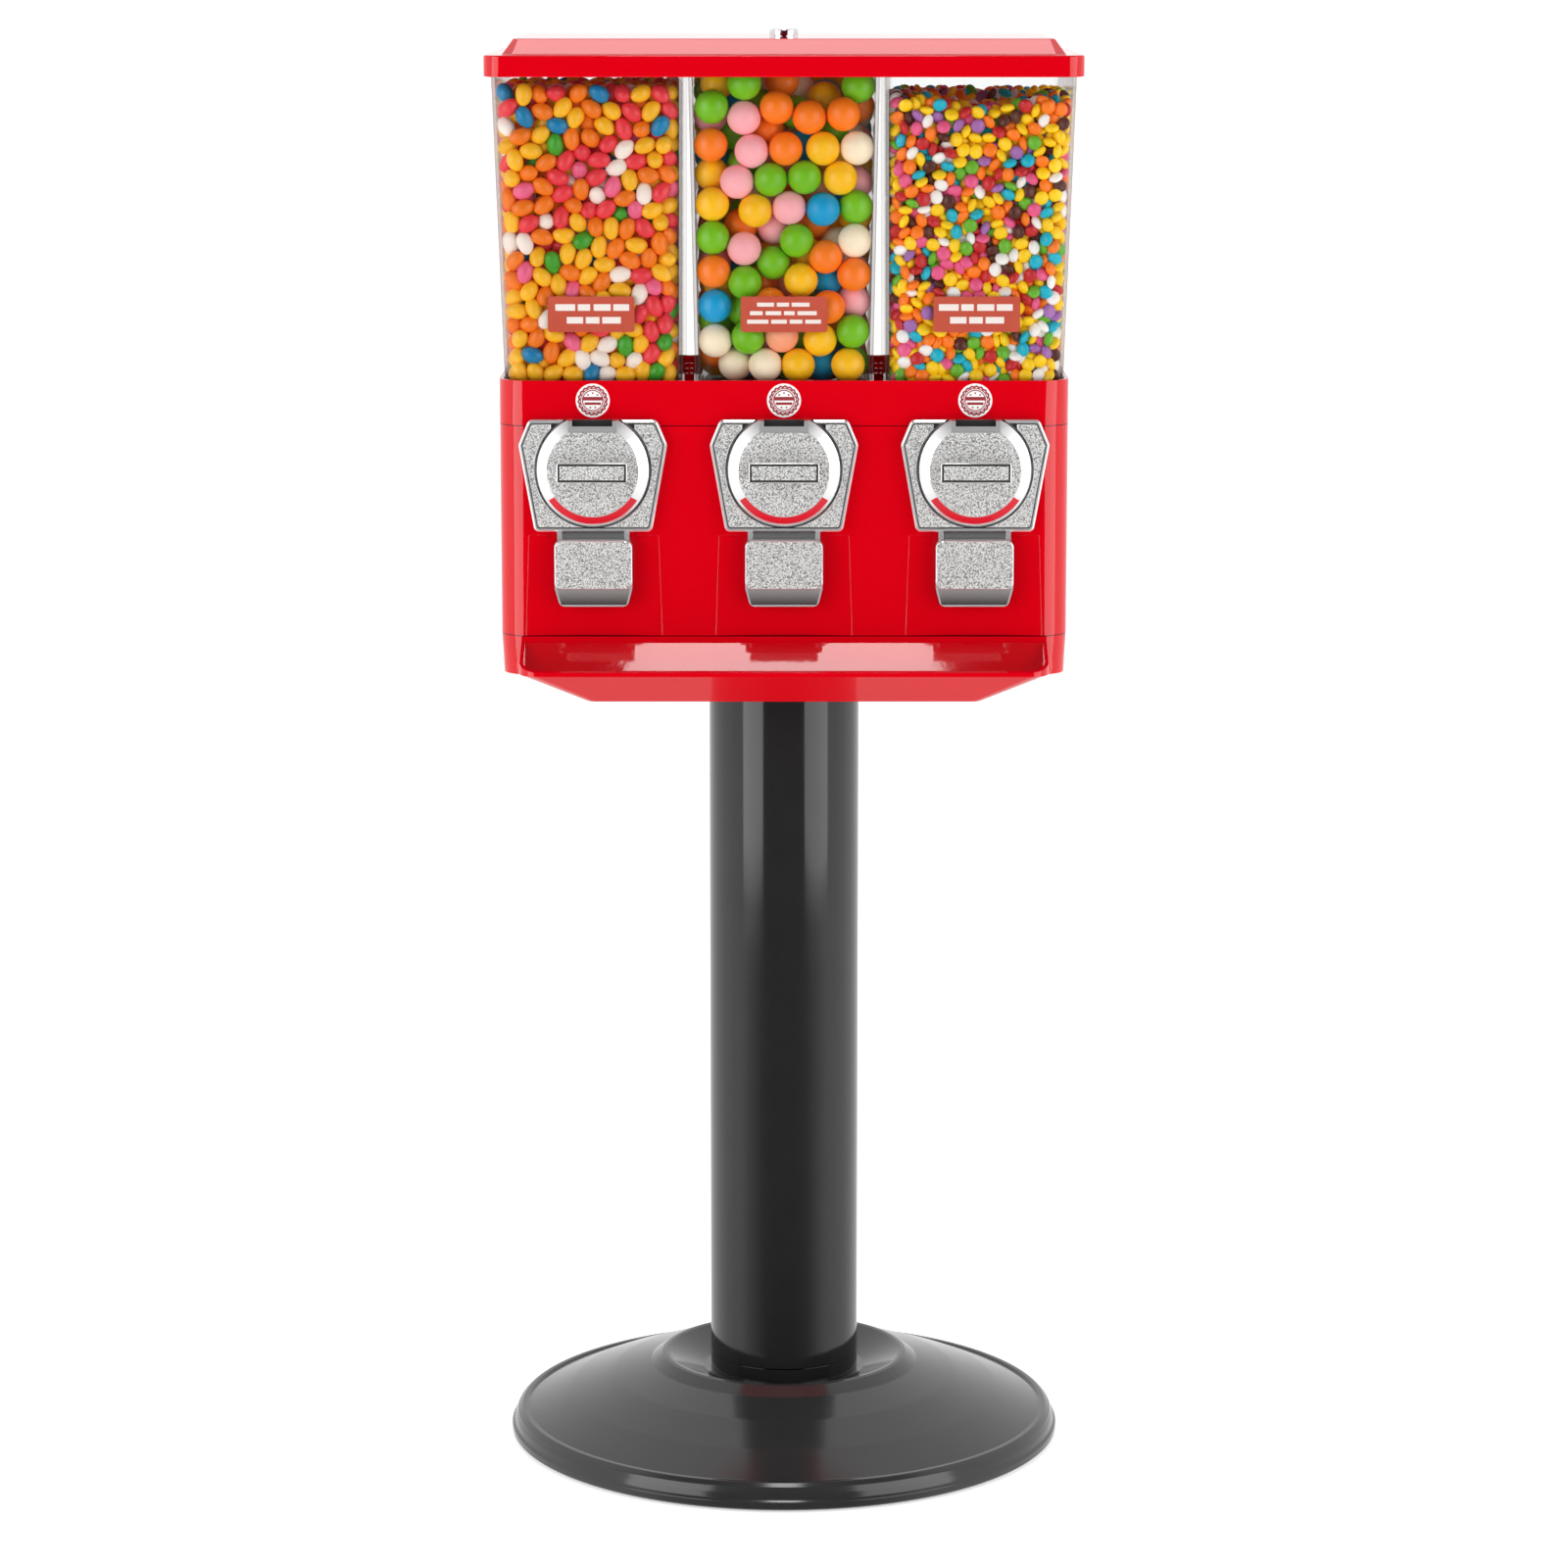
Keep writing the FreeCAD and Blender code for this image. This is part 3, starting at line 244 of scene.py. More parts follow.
def dial_metal():
    """Dial: pebbled face and bar, painted shade along the bar's outline and in the coin pocket, and a painted
    red reflection at the foot of its ring.
    """
    m = Nodes("dial_cast")
    x, y, height = m.axes()
    x, z = across(m, x), m.math("ABSOLUTE", m.math("SUBTRACT", height, SHAFT_Z))
    facing = forward(m)
    face = m.math("MULTIPLY", facing, within(m, y, -0.1184, -0.1180))
    on_bar = m.math("LESS_THAN", y, -0.1300)
    inset = m.math("MINIMUM", m.math("SUBTRACT", 0.0248, x), m.math("SUBTRACT", 0.0070, z))
    # Painted shade: a near-black band just inside the thumb bar's edge.
    line = m.math("MULTIPLY", on_bar, within(m, inset, 0.0007, 0.0021))
    bar = m.math("MULTIPLY", on_bar, m.math("GREATER_THAN", inset, 0.0021))
    # Painted shade: the coin pocket behind the slot is coloured near black.
    high = m.math("GREATER_THAN", height, SHAFT_Z + 0.0135)
    pocket = m.math("MULTIPLY", high, m.math("GREATER_THAN", y, -0.1155))
    pocket = m.math("MULTIPLY", pocket, m.math("LESS_THAN", x, 0.0143))
    pebbled(m, m.math("MAXIMUM", face, bar), m.math("MAXIMUM", line, pocket))
    radius = m.math("SQRT", m.math("ADD", m.math("MULTIPLY", x, x), m.math("MULTIPLY", z, z)))
    # Painted reflection: the lower part of the polished ring is coloured red, standing in for the red housing
    # mirrored in it, and turns with the dial.
    foot = m.math("MULTIPLY", m.math("LESS_THAN", height, SHAFT_Z),
                  m.math("GREATER_THAN", z, m.math("MULTIPLY", radius, 0.56)))
    ring = m.math("MULTIPLY", within(m, radius, 0.0326, 0.0378), m.math("LESS_THAN", y, -0.1131))
    foot = m.math("MULTIPLY", foot, ring)
    m.colour(m.mix(foot, m.fed("Base Color"), (0.56, 0.012, 0.024)))
    m.metallic(m.math("MULTIPLY", m.fed("Metallic"), m.math("SUBTRACT", 1.0, foot)))
    return m.material


def door_metal():
    """Pebbled pad with painted shade at its hinge along the top, over a smooth finger lip with a polished
    rim; the lip is painted shade, near black at the bottom and dark grey at the top.
    """
    m = Nodes("door_cast")
    x, y, z = m.axes()
    x = across(m, x)
    pad = m.math("MULTIPLY", forward(m), m.math("LESS_THAN", y, -0.1157))
    half = m.ramp(z, 0.640, 0.6538, 0.0240, 0.0275)
    # Painted shade: the finger lip inside its rim is coloured from near black at the bottom to dark grey at
    # the top, and made duller.
    inner = m.math("MULTIPLY", m.math("LESS_THAN", x, m.math("SUBTRACT", half, 0.0012)),
                   within(m, z, 0.6413, 0.6532))
    inner = m.math("MULTIPLY", inner, m.math("LESS_THAN", y, -0.1055))
    lip_shade = m.ramp(z, 0.641, 0.652, 0.0, 1.0)
    # Painted shade: the door's top, at its hinge, is coloured near black.
    hinge = m.math("GREATER_THAN", z, 0.6884)
    pebbled(m, pad, m.math("MULTIPLY", hinge, 0.9))
    m.colour(m.mix(inner, m.fed("Base Color"), m.mix(lip_shade, (0.035, 0.035, 0.035), (0.25, 0.245, 0.24))))
    m.rough(m.math("MAXIMUM", m.fed("Roughness"), m.math("MULTIPLY", inner, 0.4)))
    m.metallic(m.math("MULTIPLY", m.fed("Metallic"), m.math("MULTIPLY_ADD", inner, -0.8, 1.0)))
    return m.material


def plain_metal(name, colour, low, high):
    """Bare metal with a slightly uneven tone and a roughness between low and high."""
    m = Nodes(name, Metallic=1.0)
    m.colour(m.mix(m.noise(60.0, 3.0), shade(colour, 0.86), colour))
    m.rough(m.ramp(m.noise(240.0, 3.0), 0.3, 0.7, low, high))
    m.bump(m.noise(900.0), 0.00003, 0.3)
    return m.material


def matt(name, colour, low, high, grain=700.0, depth=0.00006):
    """A dull moulding, casting or rubber with a fine grain."""
    m = Nodes(name)
    m.colour(m.mix(m.noise(70.0, 4.0), shade(colour, 0.88), shade(colour, 1.12)))
    m.rough(m.ramp(m.noise(120.0, 3.0), 0.3, 0.7, low, high))
    m.bump(m.noise(grain, 2.0), depth, 0.5)
    return m.material


def clear_plastic():
    """Clear polycarbonate: sees straight through, with gloss and a painted whitish sheen that grow towards
    the edges.
    """
    m = Nodes("clear_polycarbonate", IOR=1.45, Specular_IOR_Level=1.0)
    edge = m.tree.nodes.new("ShaderNodeLayerWeight")
    edge.inputs["Blend"].default_value = 0.5
    facing = edge.outputs["Facing"]
    edge_sheen = m.math("POWER", facing, 4.0)
    # Painted sheen: the base colour turns whitish grey towards the edges, where the share of gloss also
    # grows.
    m.colour(m.mix(edge_sheen, m.mix(m.noise(30.0, 2.0), (0.02, 0.02, 0.02), (0.04, 0.04, 0.04)), (0.6, 0.6, 0.6)))
    m.rough(m.ramp(m.noise(45.0, 3.0), 0.35, 0.75, 0.03, 0.09))
    body = m.ramp(edge_sheen, 0.0, 1.0, 0.035, 0.7)
    tint = m.math("POWER", facing, 3.0)
    through = m.tree.nodes.new("ShaderNodeBsdfTransparent")
    m.link(m.mix(tint, (0.985, 0.988, 0.988), (0.78, 0.74, 0.72)), through.inputs[0])
    mix = m.tree.nodes.new("ShaderNodeMixShader")
    m.link(body, mix.inputs[0])
    m.link(through.outputs[0], mix.inputs[1])
    m.link(m.shader.outputs[0], mix.inputs[2])
    m.link(mix.outputs[0], m.out.inputs["Surface"])
    return m.material


def price_label():
    """White vinyl with a generic dark-red rosette: scalloped ring, thin rings, dots and two bars."""
    m = Nodes("price_label_print", Roughness=0.35)
    x, _, z = m.axes()
    x, z = beside(m, x), m.math("SUBTRACT", z, LABEL_Z)
    r = m.math("SQRT", m.math("ADD", m.math("MULTIPLY", x, x), m.math("MULTIPLY", z, z)))
    angle = m.math("ARCTAN2", z, x)
    wave = m.math("MULTIPLY", m.math("SINE", m.math("MULTIPLY", angle, 18.0)), 0.00035)

    def ring(radius, half_width, wobble=None):
        off = m.math("SUBTRACT", r, radius if wobble is None else m.math("ADD", wobble, radius))
        return m.math("LESS_THAN", m.math("ABSOLUTE", off), half_width)

    def bar(height, half_h, half_w):
        near = m.math("LESS_THAN", m.math("ABSOLUTE", m.math("SUBTRACT", z, height)), half_h)
        return m.math("MULTIPLY", near, m.math("LESS_THAN", m.math("ABSOLUTE", x), half_w))

    marks = [ring(0.0098, 0.0007, wave), ring(0.0085, 0.00035), bar(0.0013, 0.0013, 0.0074),
             bar(-0.0022, 0.0009, 0.0058), ring(0.0072, 0.0004)]
    dots = m.math("MULTIPLY", ring(0.0052, 0.0006),
                  m.math("GREATER_THAN", m.math("SINE", m.math("MULTIPLY", angle, 9.0)), 0.55))
    ink = dots
    for mark in marks:
        ink = m.math("MAXIMUM", ink, mark)
    paper = m.mix(m.noise(300.0), (0.82, 0.79, 0.78), (0.9, 0.88, 0.87))
    m.colour(m.mix(ink, paper, (0.3, 0.02, 0.03)))
    m.bump(m.noise(500.0), 0.00002, 0.3)
    return m.material


def card_print():
    """Orange-red card with rows of plain white bars in place of its words."""
    m = Nodes("card_print", Roughness=0.3)
    x, _, z = m.axes()
    centre = m.math("LESS_THAN", m.math("ABSOLUTE", x), 0.05)
    x, z = beside(m, x), m.math("SUBTRACT", z, CARD_Z)

    def row(height, half, spans):
        ink = 0.0
        for low, high in spans:
            ink = m.math("MAXIMUM", ink, within(m, x, low * MM, high * MM))
        near = m.math("LESS_THAN", m.math("ABSOLUTE", m.math("SUBTRACT", z, height)), half)
        return m.math("MULTIPLY", ink, near)

    outer = m.math("MAXIMUM", row(0.0048, 0.0023, ((-26, -12), (-10.2, -1.5), (1, 13), (14.8, 26))),
                   row(-0.0042, 0.0023, ((-18, -6.5), (-4.6, 5), (7, 20))))
    inner = m.math("MAXIMUM", row(0.0068, 0.0014, ((-19, -7), (-5, 3.5), (5.4, 18))),
                   row(0.0008, 0.0014, ((-24, -15), (-13, -2), (0, 7.5), (9.5, 23))))
    inner = m.math("MAXIMUM", inner, row(-0.0052, 0.0014, ((-26, -11), (-9, 2), (4, 13), (15, 26))))
    ink = m.math("ADD", m.math("MULTIPLY", inner, centre),
                 m.math("MULTIPLY", outer, m.math("SUBTRACT", 1.0, centre)))
    card = m.mix(m.noise(60.0, 2.0), (0.42, 0.056, 0.03), (0.48, 0.08, 0.045))
    m.colour(m.mix(ink, card, (0.72, 0.64, 0.6)))
    m.bump(m.noise(400.0), 0.00002, 0.3)
    return m.material


def candy(name, colour, low=0.28, high=0.42, mottle=0.06, speckle=None, grain=900.0, glow=0.02):
    """Sugar shell: each sweet has its own tone, with faint blotches, a fine grain and a weak painted glow in
    its own colour, standing in for light through the sugar.
    """
    m = Nodes(name, IOR=1.45)
    tone = m.tree.nodes.new("ShaderNodeNewGeometry").outputs["Random Per Island"]
    blotch = m.noise(140.0, 3.0)
    share = m.math("ADD", m.math("MULTIPLY", tone, 0.6), m.math("MULTIPLY", blotch, 0.4))
    colour_out = m.mix(share, shade(colour, 1 - 1.6 * mottle), shade(colour, 1 + mottle))
    if speckle:
        spots = m.ramp(m.noise(1100.0, 2.0), 0.5, 0.62, 0.0, 0.75, True)
        colour_out = m.mix(spots, colour_out, speckle)
    m.colour(colour_out)
    # Painted light: the sweet glows weakly in its own colour.
    m.link(colour_out, m.shader.inputs["Emission Color"])
    m.set("Emission Strength", glow)
    m.rough(m.ramp(m.noise(220.0, 3.0), 0.3, 0.7, low, high))
    m.bump(m.noise(grain, 3.0), 0.00006, 0.35)
    return m.material


# ---- mesh helpers --------------------------------------------------------------------------------

def mesh_object(name, verts, faces, material, smooth=True):
    mesh = bpy.data.meshes.new(name)
    mesh.from_pydata([tuple(v) for v in verts], [], [tuple(f) for f in faces])
    mesh.validate()
    mesh.polygons.foreach_set("use_smooth", [smooth] * len(mesh.polygons))
    mesh.materials.append(material)
    obj = bpy.data.objects.new(name, mesh)
    bpy.context.scene.collection.objects.link(obj)
    return obj


def soften(obj, width=0.0):
    """Rounds an object's hard edges by width, if it is given, and keeps its flat faces flat."""
    if width:
        obj.modifiers.new("weld", "WELD").merge_threshold = 1e-6
        bevel = obj.modifiers.new("bevel", "BEVEL")
        bevel.width, bevel.segments = width, 2
        bevel.limit_method, bevel.angle_limit = "ANGLE", math.radians(30)
        bevel.use_clamp_overlap = True
        bevel.miter_outer = "MITER_ARC"
    normals = obj.modifiers.new("normals", "WEIGHTED_NORMAL")
    normals.weight, normals.keep_sharp = 60, True


def filleted(points, steps):
    """A closed (r, z, fillet radius) outline in millimetres as a smooth list of (r, z) in metres."""
    out = []
    n = len(points)
    for i, (r, z, radius) in enumerate(points):
        here = Vector((r, z))
        a = Vector(points[i - 1][:2]) - here
        b = Vector(points[(i + 1) % n][:2]) - here
        la, lb = a.length, b.length
        a.normalize()
        b.normalize()
        half = a.angle(b) / 2
        if radius <= 0 or half > math.radians(89.5):
            out.append(here)
            continue
        cut = min(radius / math.tan(half), 0.45 * la, 0.45 * lb)
        start, end = here + a * cut, here + b * cut
        for k in range(steps + 1):
            t = k / steps
            out.append(start * (1 - t) ** 2 + here * 2 * t * (1 - t) + end * t ** 2)
    return [(p.x * MM, p.y * MM) for p in out]


def lathe(name, outline, material, segments):
    """A ring-shaped solid turned about Z from a closed outline of (r, z)."""
    verts, faces, n = [], [], len(outline)
    for s in range(segments):
        a = 2 * math.pi * s / segments
        verts += [(r * math.cos(a), r * math.sin(a), z) for r, z in outline]
    for s in range(segments):
        for k in range(n):
            a, b = s * n + k, s * n + (k + 1) % n
            c, d = ((s + 1) % segments) * n + (k + 1) % n, ((s + 1) % segments) * n + k
            faces.append((a, d, c, b))
    return mesh_object(name, verts, faces, material)


# ---- materials of the CAD nodes ------------------------------------------------------------------

RED, BLACK = red_plastic(), black_steel("black_powder_coat", 0.015, 0.07)
BASE_BLACK = black_steel("black_base_coat", 0.024, 0.11)
CHROME = plain_metal("bright_plating", (0.82, 0.82, 0.84), 0.08, 0.18)
ZINC_SHEET = plain_metal("zinc_sheet", (0.6, 0.61, 0.63), 0.28, 0.42)
GREY = matt("grey_moulding", (0.42, 0.42, 0.42), 0.4, 0.55)
NYLON = matt("natural_nylon", (0.78, 0.76, 0.7), 0.35, 0.5)
CLEAR = clear_plastic()
FINISH = {
    "base_weight": matt("painted_iron", (0.035, 0.035, 0.037), 0.55, 0.7, 300.0, 0.0002),
    "foot_ring": matt("black_rubber", (0.025, 0.025, 0.026), 0.6, 0.8), "base_hub": BLACK, "pole": BLACK,
    "pole_foot": BLACK, "pole_top_plate": ZINC_SHEET, "head_bolts": CHROME, "tie_rod": CHROME,
    "tie_rod_nuts": CHROME, "bottom_pan": RED, "main_housing": RED, "top_deck": RED, "lid": RED,
    "lid_lock": CHROME, "wheel_axles": CHROME, "lock_rod": CHROME, "rod_nut": CHROME, "cash_tray": GREY,
    "price_labels": price_label(), "canister_cards": card_print(),
}
PLATE, DIAL, DOOR = plate_metal(), dial_metal(), door_metal()
for side in SIDES:
    FINISH.update({
        f"canister_{side}": CLEAR, f"outlet_guard_{side}": GREY, f"coin_plate_{side}": PLATE,
        f"mech_box_{side}": ZINC_SHEET, f"chute_{side}": GREY, f"door_pin_{side}": CHROME,
        f"dial_{side}": DIAL, f"drive_shaft_{side}": CHROME, f"coin_wheel_{side}": ZINC_SHEET,
        f"pinion_{side}": NYLON, f"dispensing_wheel_{side}": NYLON, f"agitator_{side}": CHROME,
        f"door_{side}": DOOR,
    })
# Rounding of the nodes' hard edges, in millimetres
EDGE = {"pole": 0.5, "pole_foot": 0.4, "bottom_pan": 0.8, "main_housing": 0.5, "top_deck": 0.5, "lid": 1.0,
        "lid_lock": 0.4}
for side in SIDES:
    EDGE.update({f"coin_plate_{side}": 0.25, f"dial_{side}": 0.3, f"door_{side}": 0.35})
for node, material in FINISH.items():
    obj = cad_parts[node]
    obj.data.materials.clear()
    obj.data.materials.append(material)
    if node in EDGE:
        soften(obj, EDGE[node] * MM)


# ---- the base cover ------------------------------------------------------------------------------

BASE_OUTLINE = [
    (203.5, 1.5, 0), (205.0, 3.0, 0.8), (205.0, 7.4, 1.2), (203.0, 8.9, 0.5), (202.2, 13.0, 1.6),
    (200.4, 17.2, 2.2), (197.0, 20.0, 1.8), (193.6, 20.0, 1.0), (192.4, 18.9, 0.5), (190.3, 19.7, 0.8),
    (160.0, 32.4, 30), (128.0, 44.2, 40), (101.5, 52.2, 0.7), (99.9, 52.7, 0.7), (91.4, 58.8, 0.9),
    (88.6, 59.4, 0.7), (86.2, 59.0, 0.7), (60.0, 48.2, 1.0), (58.0, 48.0, 0.5), (8.0, 48.0, 0),
    (8.0, 45.6, 0), (60.8, 45.6, 2), (87.0, 56.2, 2), (98.2, 49.9, 2), (102.0, 48.6, 2), (128.0, 41.4, 30),
    (160.0, 29.6, 30), (191.0, 16.6, 2), (197.0, 15.8, 2), (199.6, 10.0, 2), (200.8, 7.0, 2), (200.8, 1.5, 0),
]
cover = lathe("base_shell", filleted(BASE_OUTLINE, 4), BASE_BLACK, 256)
soften(cover)
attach(cover, ROOT)
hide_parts("base_cover")


# ---- canisters -----------------------------------------------------------------------------------

FLOOR_Z, RIM_Z = 0.793, 1.024
BASE_HALF, TOP_HALF = (0.063, 0.100), (0.0675, 0.104)
LEAN, CORNER, WALL_T = 0.0035, 0.0165, 0.0025


def canister_centre(x, z):
    share = (z - FLOOR_Z) / (RIM_Z - FLOOR_Z)
    return x + (math.copysign(LEAN, x) * share if x else 0.0)


def canister_half(z):
    share = (z - FLOOR_Z) / (RIM_Z - FLOOR_Z)
    return [a + (b - a) * share for a, b in zip(BASE_HALF, TOP_HALF)]


def canister_loop(x, z, inward):
    """One round-cornered outline of a canister at height z, anticlockwise from the right side."""
    half_w, half_d = (h - inward for h in canister_half(z))
    r = CORNER - inward
    cx = canister_centre(x, z)
    loop, arc = [], 9
    for sx, sy, start in ((1, 1, 0), (-1, 1, 90), (-1, -1, 180), (1, -1, 270)):
        for k in range(arc + 1):
            a = math.radians(start + 90 * k / arc)
            loop.append((cx + sx * (half_w - r) + r * math.cos(a), sy * (half_d - r) + r * math.sin(a), z))
    return loop


def canister(side, x):
    """Clear tapered box with a rounded foot, a bevelled inside edge at its lip, and a round hole over the
    wheel.
    """
    foot = 0.0035
    outside = [(FLOOR_Z + foot * (1 - math.cos(a)), foot * (1 - math.sin(a)))
               for a in (math.radians(18 * k) for k in range(6))]
    outside += [(FLOOR_Z + (RIM_Z - FLOOR_Z) * k / 6, 0.0) for k in range(1, 7)]
    inner_foot = 0.003
    inside = [(RIM_Z, WALL_T - 0.0008), (RIM_Z - 0.001, WALL_T)]
    inside += [(FLOOR_Z + (RIM_Z - FLOOR_Z) * k / 6, WALL_T) for k in range(5, 0, -1)]
    inside += [(FLOOR_Z + WALL_T + inner_foot * (1 - math.sin(a)), WALL_T + inner_foot * (1 - math.cos(a)))
               for a in (math.radians(18 * k) for k in range(6))]
    loops = [canister_loop(x, z, inward) for z, inward in outside + inside]
    n = len(loops[0])
    hole_r = 0.054
    for z in (FLOOR_Z + WALL_T, FLOOR_Z):
        ring = []
        for px, py, _ in loops[-1]:
            a = math.atan2(py / BASE_HALF[1], (px - x) / BASE_HALF[0])
            ring.append((x + hole_r * math.cos(a), hole_r * math.sin(a), z))
        loops.append(ring)
    verts = [v for loop in loops for v in loop]
    faces = []
    for a in range(len(loops)):
        b = (a + 1) % len(loops)
        faces += [(a * n + k, a * n + (k + 1) % n, b * n + (k + 1) % n, b * n + k) for k in range(n)]
    obj = mesh_object(f"clear_canister_{side}", verts, faces, CLEAR)
    soften(obj)
    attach(obj, ROOT)
    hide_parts(f"canister_{side}")


for side, x in SIDES.items():
    canister(side, x)


# ---- dials and panel edges -----------------------------------------------------------------------

# The dial in millimetres about its centre, with y from the housing's front: its turned edge as
# (radius, y, fillet), then the flat, the coin notch, the pocket behind it, its lip and the shaft's socket
DIAL_PROFILE = [(31.9, -14.2, 0), (32.4, -14.1, 0.15), (39.3, -9.2, 0.25), (39.6, -8.8, 0.1), (39.6, -2.3, 0)]
FLAT_Z, NOTCH_Z, POCKET_Z = 35.4, 27.2, 14.0
NOTCH_HALF, POCKET_HALF = 17.2, 14.2
NOTCH_Y, POCKET_Y, LIP_Y = -11.6, -8.9, -13.8
SOCKET_HALF, SOCKET_Y = 2.6, -7.0


def block(x0, x1, y0, y1, z0, z1):
    """A temporary box in millimetres about the dial's centre, for cutting."""
    verts = [(x * MM, FRONT_Y + y * MM, z * MM) for x in (x0, x1) for y in (y0, y1) for z in (z0, z1)]
    faces = [(0, 1, 3, 2), (4, 6, 7, 5), (0, 4, 5, 1), (2, 3, 7, 6), (0, 2, 6, 4), (1, 5, 7, 3)]
    return mesh_object("cutter", verts, faces, DIAL, smooth=False)


def combine(obj, operation, tools):
    """Cuts or joins tools into obj exactly, and removes them."""
    for tool in tools:
        change = obj.modifiers.new("combine", "BOOLEAN")
        change.operation, change.object, change.solver = operation, tool, "EXACT"
    bpy.context.view_layer.update()
    graph = bpy.context.evaluated_depsgraph_get()
    mesh = bpy.data.meshes.new_from_object(obj.evaluated_get(graph))
    old = obj.data
    obj.modifiers.clear()
    obj.data = mesh
    bpy.data.meshes.remove(old)
    for tool in tools:
        bpy.data.objects.remove(tool)


def round_bar(half_w, half_h, y_back, y_front, corner, edge):
    """A thumb bar with rounded corners and a softened front edge, in millimetres about the dial's centre."""
    loops, steps = [], 5
    rounding = [(y_front + edge * (1 - math.sin(t)), edge * (1 - math.cos(t)))
                for t in (0.4, 0.8, 1.2, math.pi / 2)]
    for y, shrink in [(y_back, 0.0), (y_front + edge, 0.0)] + rounding:
        loop = []
        for sx, sz, start in ((1, 1, 0), (-1, 1, 90), (-1, -1, 180), (1, -1, 270)):
            r = corner - 0.5 * shrink
            cx, cz = half_w - shrink - r, half_h - shrink - r
            for k in range(steps + 1):
                a = math.radians(start + 90 * k / steps)
                px, pz = sx * cx + r * math.cos(a), sz * cz + r * math.sin(a)
                loop.append((px * MM, FRONT_Y + y * MM, pz * MM))
        loops.append(loop)
    n = len(loops[0])
    verts = [v for loop in loops for v in loop]
    faces = [(a * n + k, a * n + (k + 1) % n, (a + 1) * n + (k + 1) % n, (a + 1) * n + k)
             for a in range(len(loops) - 1) for k in range(n)]
    faces += [tuple(reversed(range(n))), tuple(range((len(loops) - 1) * n, len(loops) * n))]
    return verts, faces


def dial(side, x):
    """The knob: a polished cone round a pebbled face, a flat and coin slot at its top, and the thumb bar."""
    outline = filleted(DIAL_PROFILE, 3)
    around, m = 160, len(outline)
    faces = []
    verts = [(0.0, FRONT_Y + DIAL_PROFILE[0][1] * MM, 0.0), (0.0, FRONT_Y + DIAL_PROFILE[-1][1] * MM, 0.0)]
    for k in range(around):
        a = 2 * math.pi * k / around
        verts += [(r * math.cos(a), FRONT_Y + y, r * math.sin(a)) for r, y in outline]
    for k in range(around):
        here, there = 2 + k * m, 2 + ((k + 1) % around) * m
        faces.append((0, here, there))
        faces += [(here + i, here + i + 1, there + i + 1, there + i) for i in range(m - 1)]
        faces.append((1, there + m - 1, here + m - 1))
    obj = mesh_object(f"knob_{side}", verts, faces, DIAL)
    combine(obj, "DIFFERENCE", [block(-NOTCH_HALF, NOTCH_HALF, -30, NOTCH_Y, NOTCH_Z, 50),
                                block(-50, 50, -30, 1, FLAT_Z, 50),
                                block(-POCKET_HALF, POCKET_HALF, NOTCH_Y - 0.01, POCKET_Y, POCKET_Z, 50),
                                block(-SOCKET_HALF, SOCKET_HALF, SOCKET_Y, 1, -SOCKET_HALF, SOCKET_HALF)])
    bar_verts, bar_faces = round_bar(24.8, 7.0, -13.7, -27.0, 1.6, 0.7)
    bar = mesh_object("bar", bar_verts, bar_faces, DIAL)
    lug_z = (27.8, FLAT_Z)
    combine(obj, "UNION", [bar, block(-NOTCH_HALF, NOTCH_HALF, LIP_Y, -11.3, 26.6, 31.6),
                           block(-NOTCH_HALF, -POCKET_HALF, LIP_Y, POCKET_Y, *lug_z),
                           block(POCKET_HALF, NOTCH_HALF, LIP_Y, POCKET_Y, *lug_z)])
    for v in obj.data.vertices:
        v.co.x += x
        v.co.z += SHAFT_Z
    obj.data.polygons.foreach_set("use_smooth", [True] * len(obj.data.polygons))
    obj.data.set_sharp_from_angle(angle=math.radians(28))
    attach(obj, f"dial_{side}_body")
    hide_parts(f"dial_{side}")


def ridge(name, points):
    """A thin rounded rib along a line on the housing's front, in millimetres."""
    verts, faces, arc = [], [], 6
    width, proud, sunk = 0.5, 0.28, 0.15
    for i, (x, z) in enumerate(points):
        a = Vector(points[max(i - 1, 0)])
        b = Vector(points[min(i + 1, len(points) - 1)])
        along = (b - a).normalized()
        side = Vector((along.y, -along.x))
        for k in range(arc + 1):
            t = math.pi * k / arc
            off = side * (width * math.cos(t))
            y = sunk - (proud + sunk) * math.sin(t)
            verts.append(((x + off.x) * MM, FRONT_Y + y * MM, (z + off.y) * MM))
    for i in range(len(points) - 1):
        here, there = i * (arc + 1), (i + 1) * (arc + 1)
        faces += [(here + k, there + k, there + k + 1, here + k + 1) for k in range(arc)]
    obj = mesh_object(name, verts, faces, RED)
    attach(obj, ROOT)


for side, x in SIDES.items():
    dial(side, x)
    cx = x / MM
    for sign in (-1, 1):
        bend = [(30, 690.2), (45.0, 690.2), (45.9, 689.6), (48.4, 618.6)]
        ridge(f"panel_edge_{side}_{'left' if sign < 0 else 'right'}", [(cx + sign * dx, z) for dx, z in bend])


# ---- sweets --------------------------------------------------------------------------------------

BED_Z = 0.7975                  # height of the lowest sweets' undersides
WALL_GAP = 0.0003               # between the sweets and the walls


def ball_template(around, rings):
    """Unit sphere: vertices and faces."""
    verts = [(0, 0, 1)]
    for i in range(1, rings):
        t = math.pi * i / rings
        turns = [2 * math.pi * k / around for k in range(around)]
        verts += [(math.sin(t) * math.cos(a), math.sin(t) * math.sin(a), math.cos(t)) for a in turns]
    verts.append((0, 0, -1))
    last = len(verts) - 1
    faces = [(0, 1 + k, 1 + (k + 1) % around) for k in range(around)]
    for i in range(rings - 2):
        a, b = 1 + i * around, 1 + (i + 1) * around
        faces += [(a + k, b + k, b + (k + 1) % around, a + (k + 1) % around) for k in range(around)]
    faces += [(last, last - around + (k + 1) % around, last - around + k) for k in range(around)]
    return np.array(verts), faces


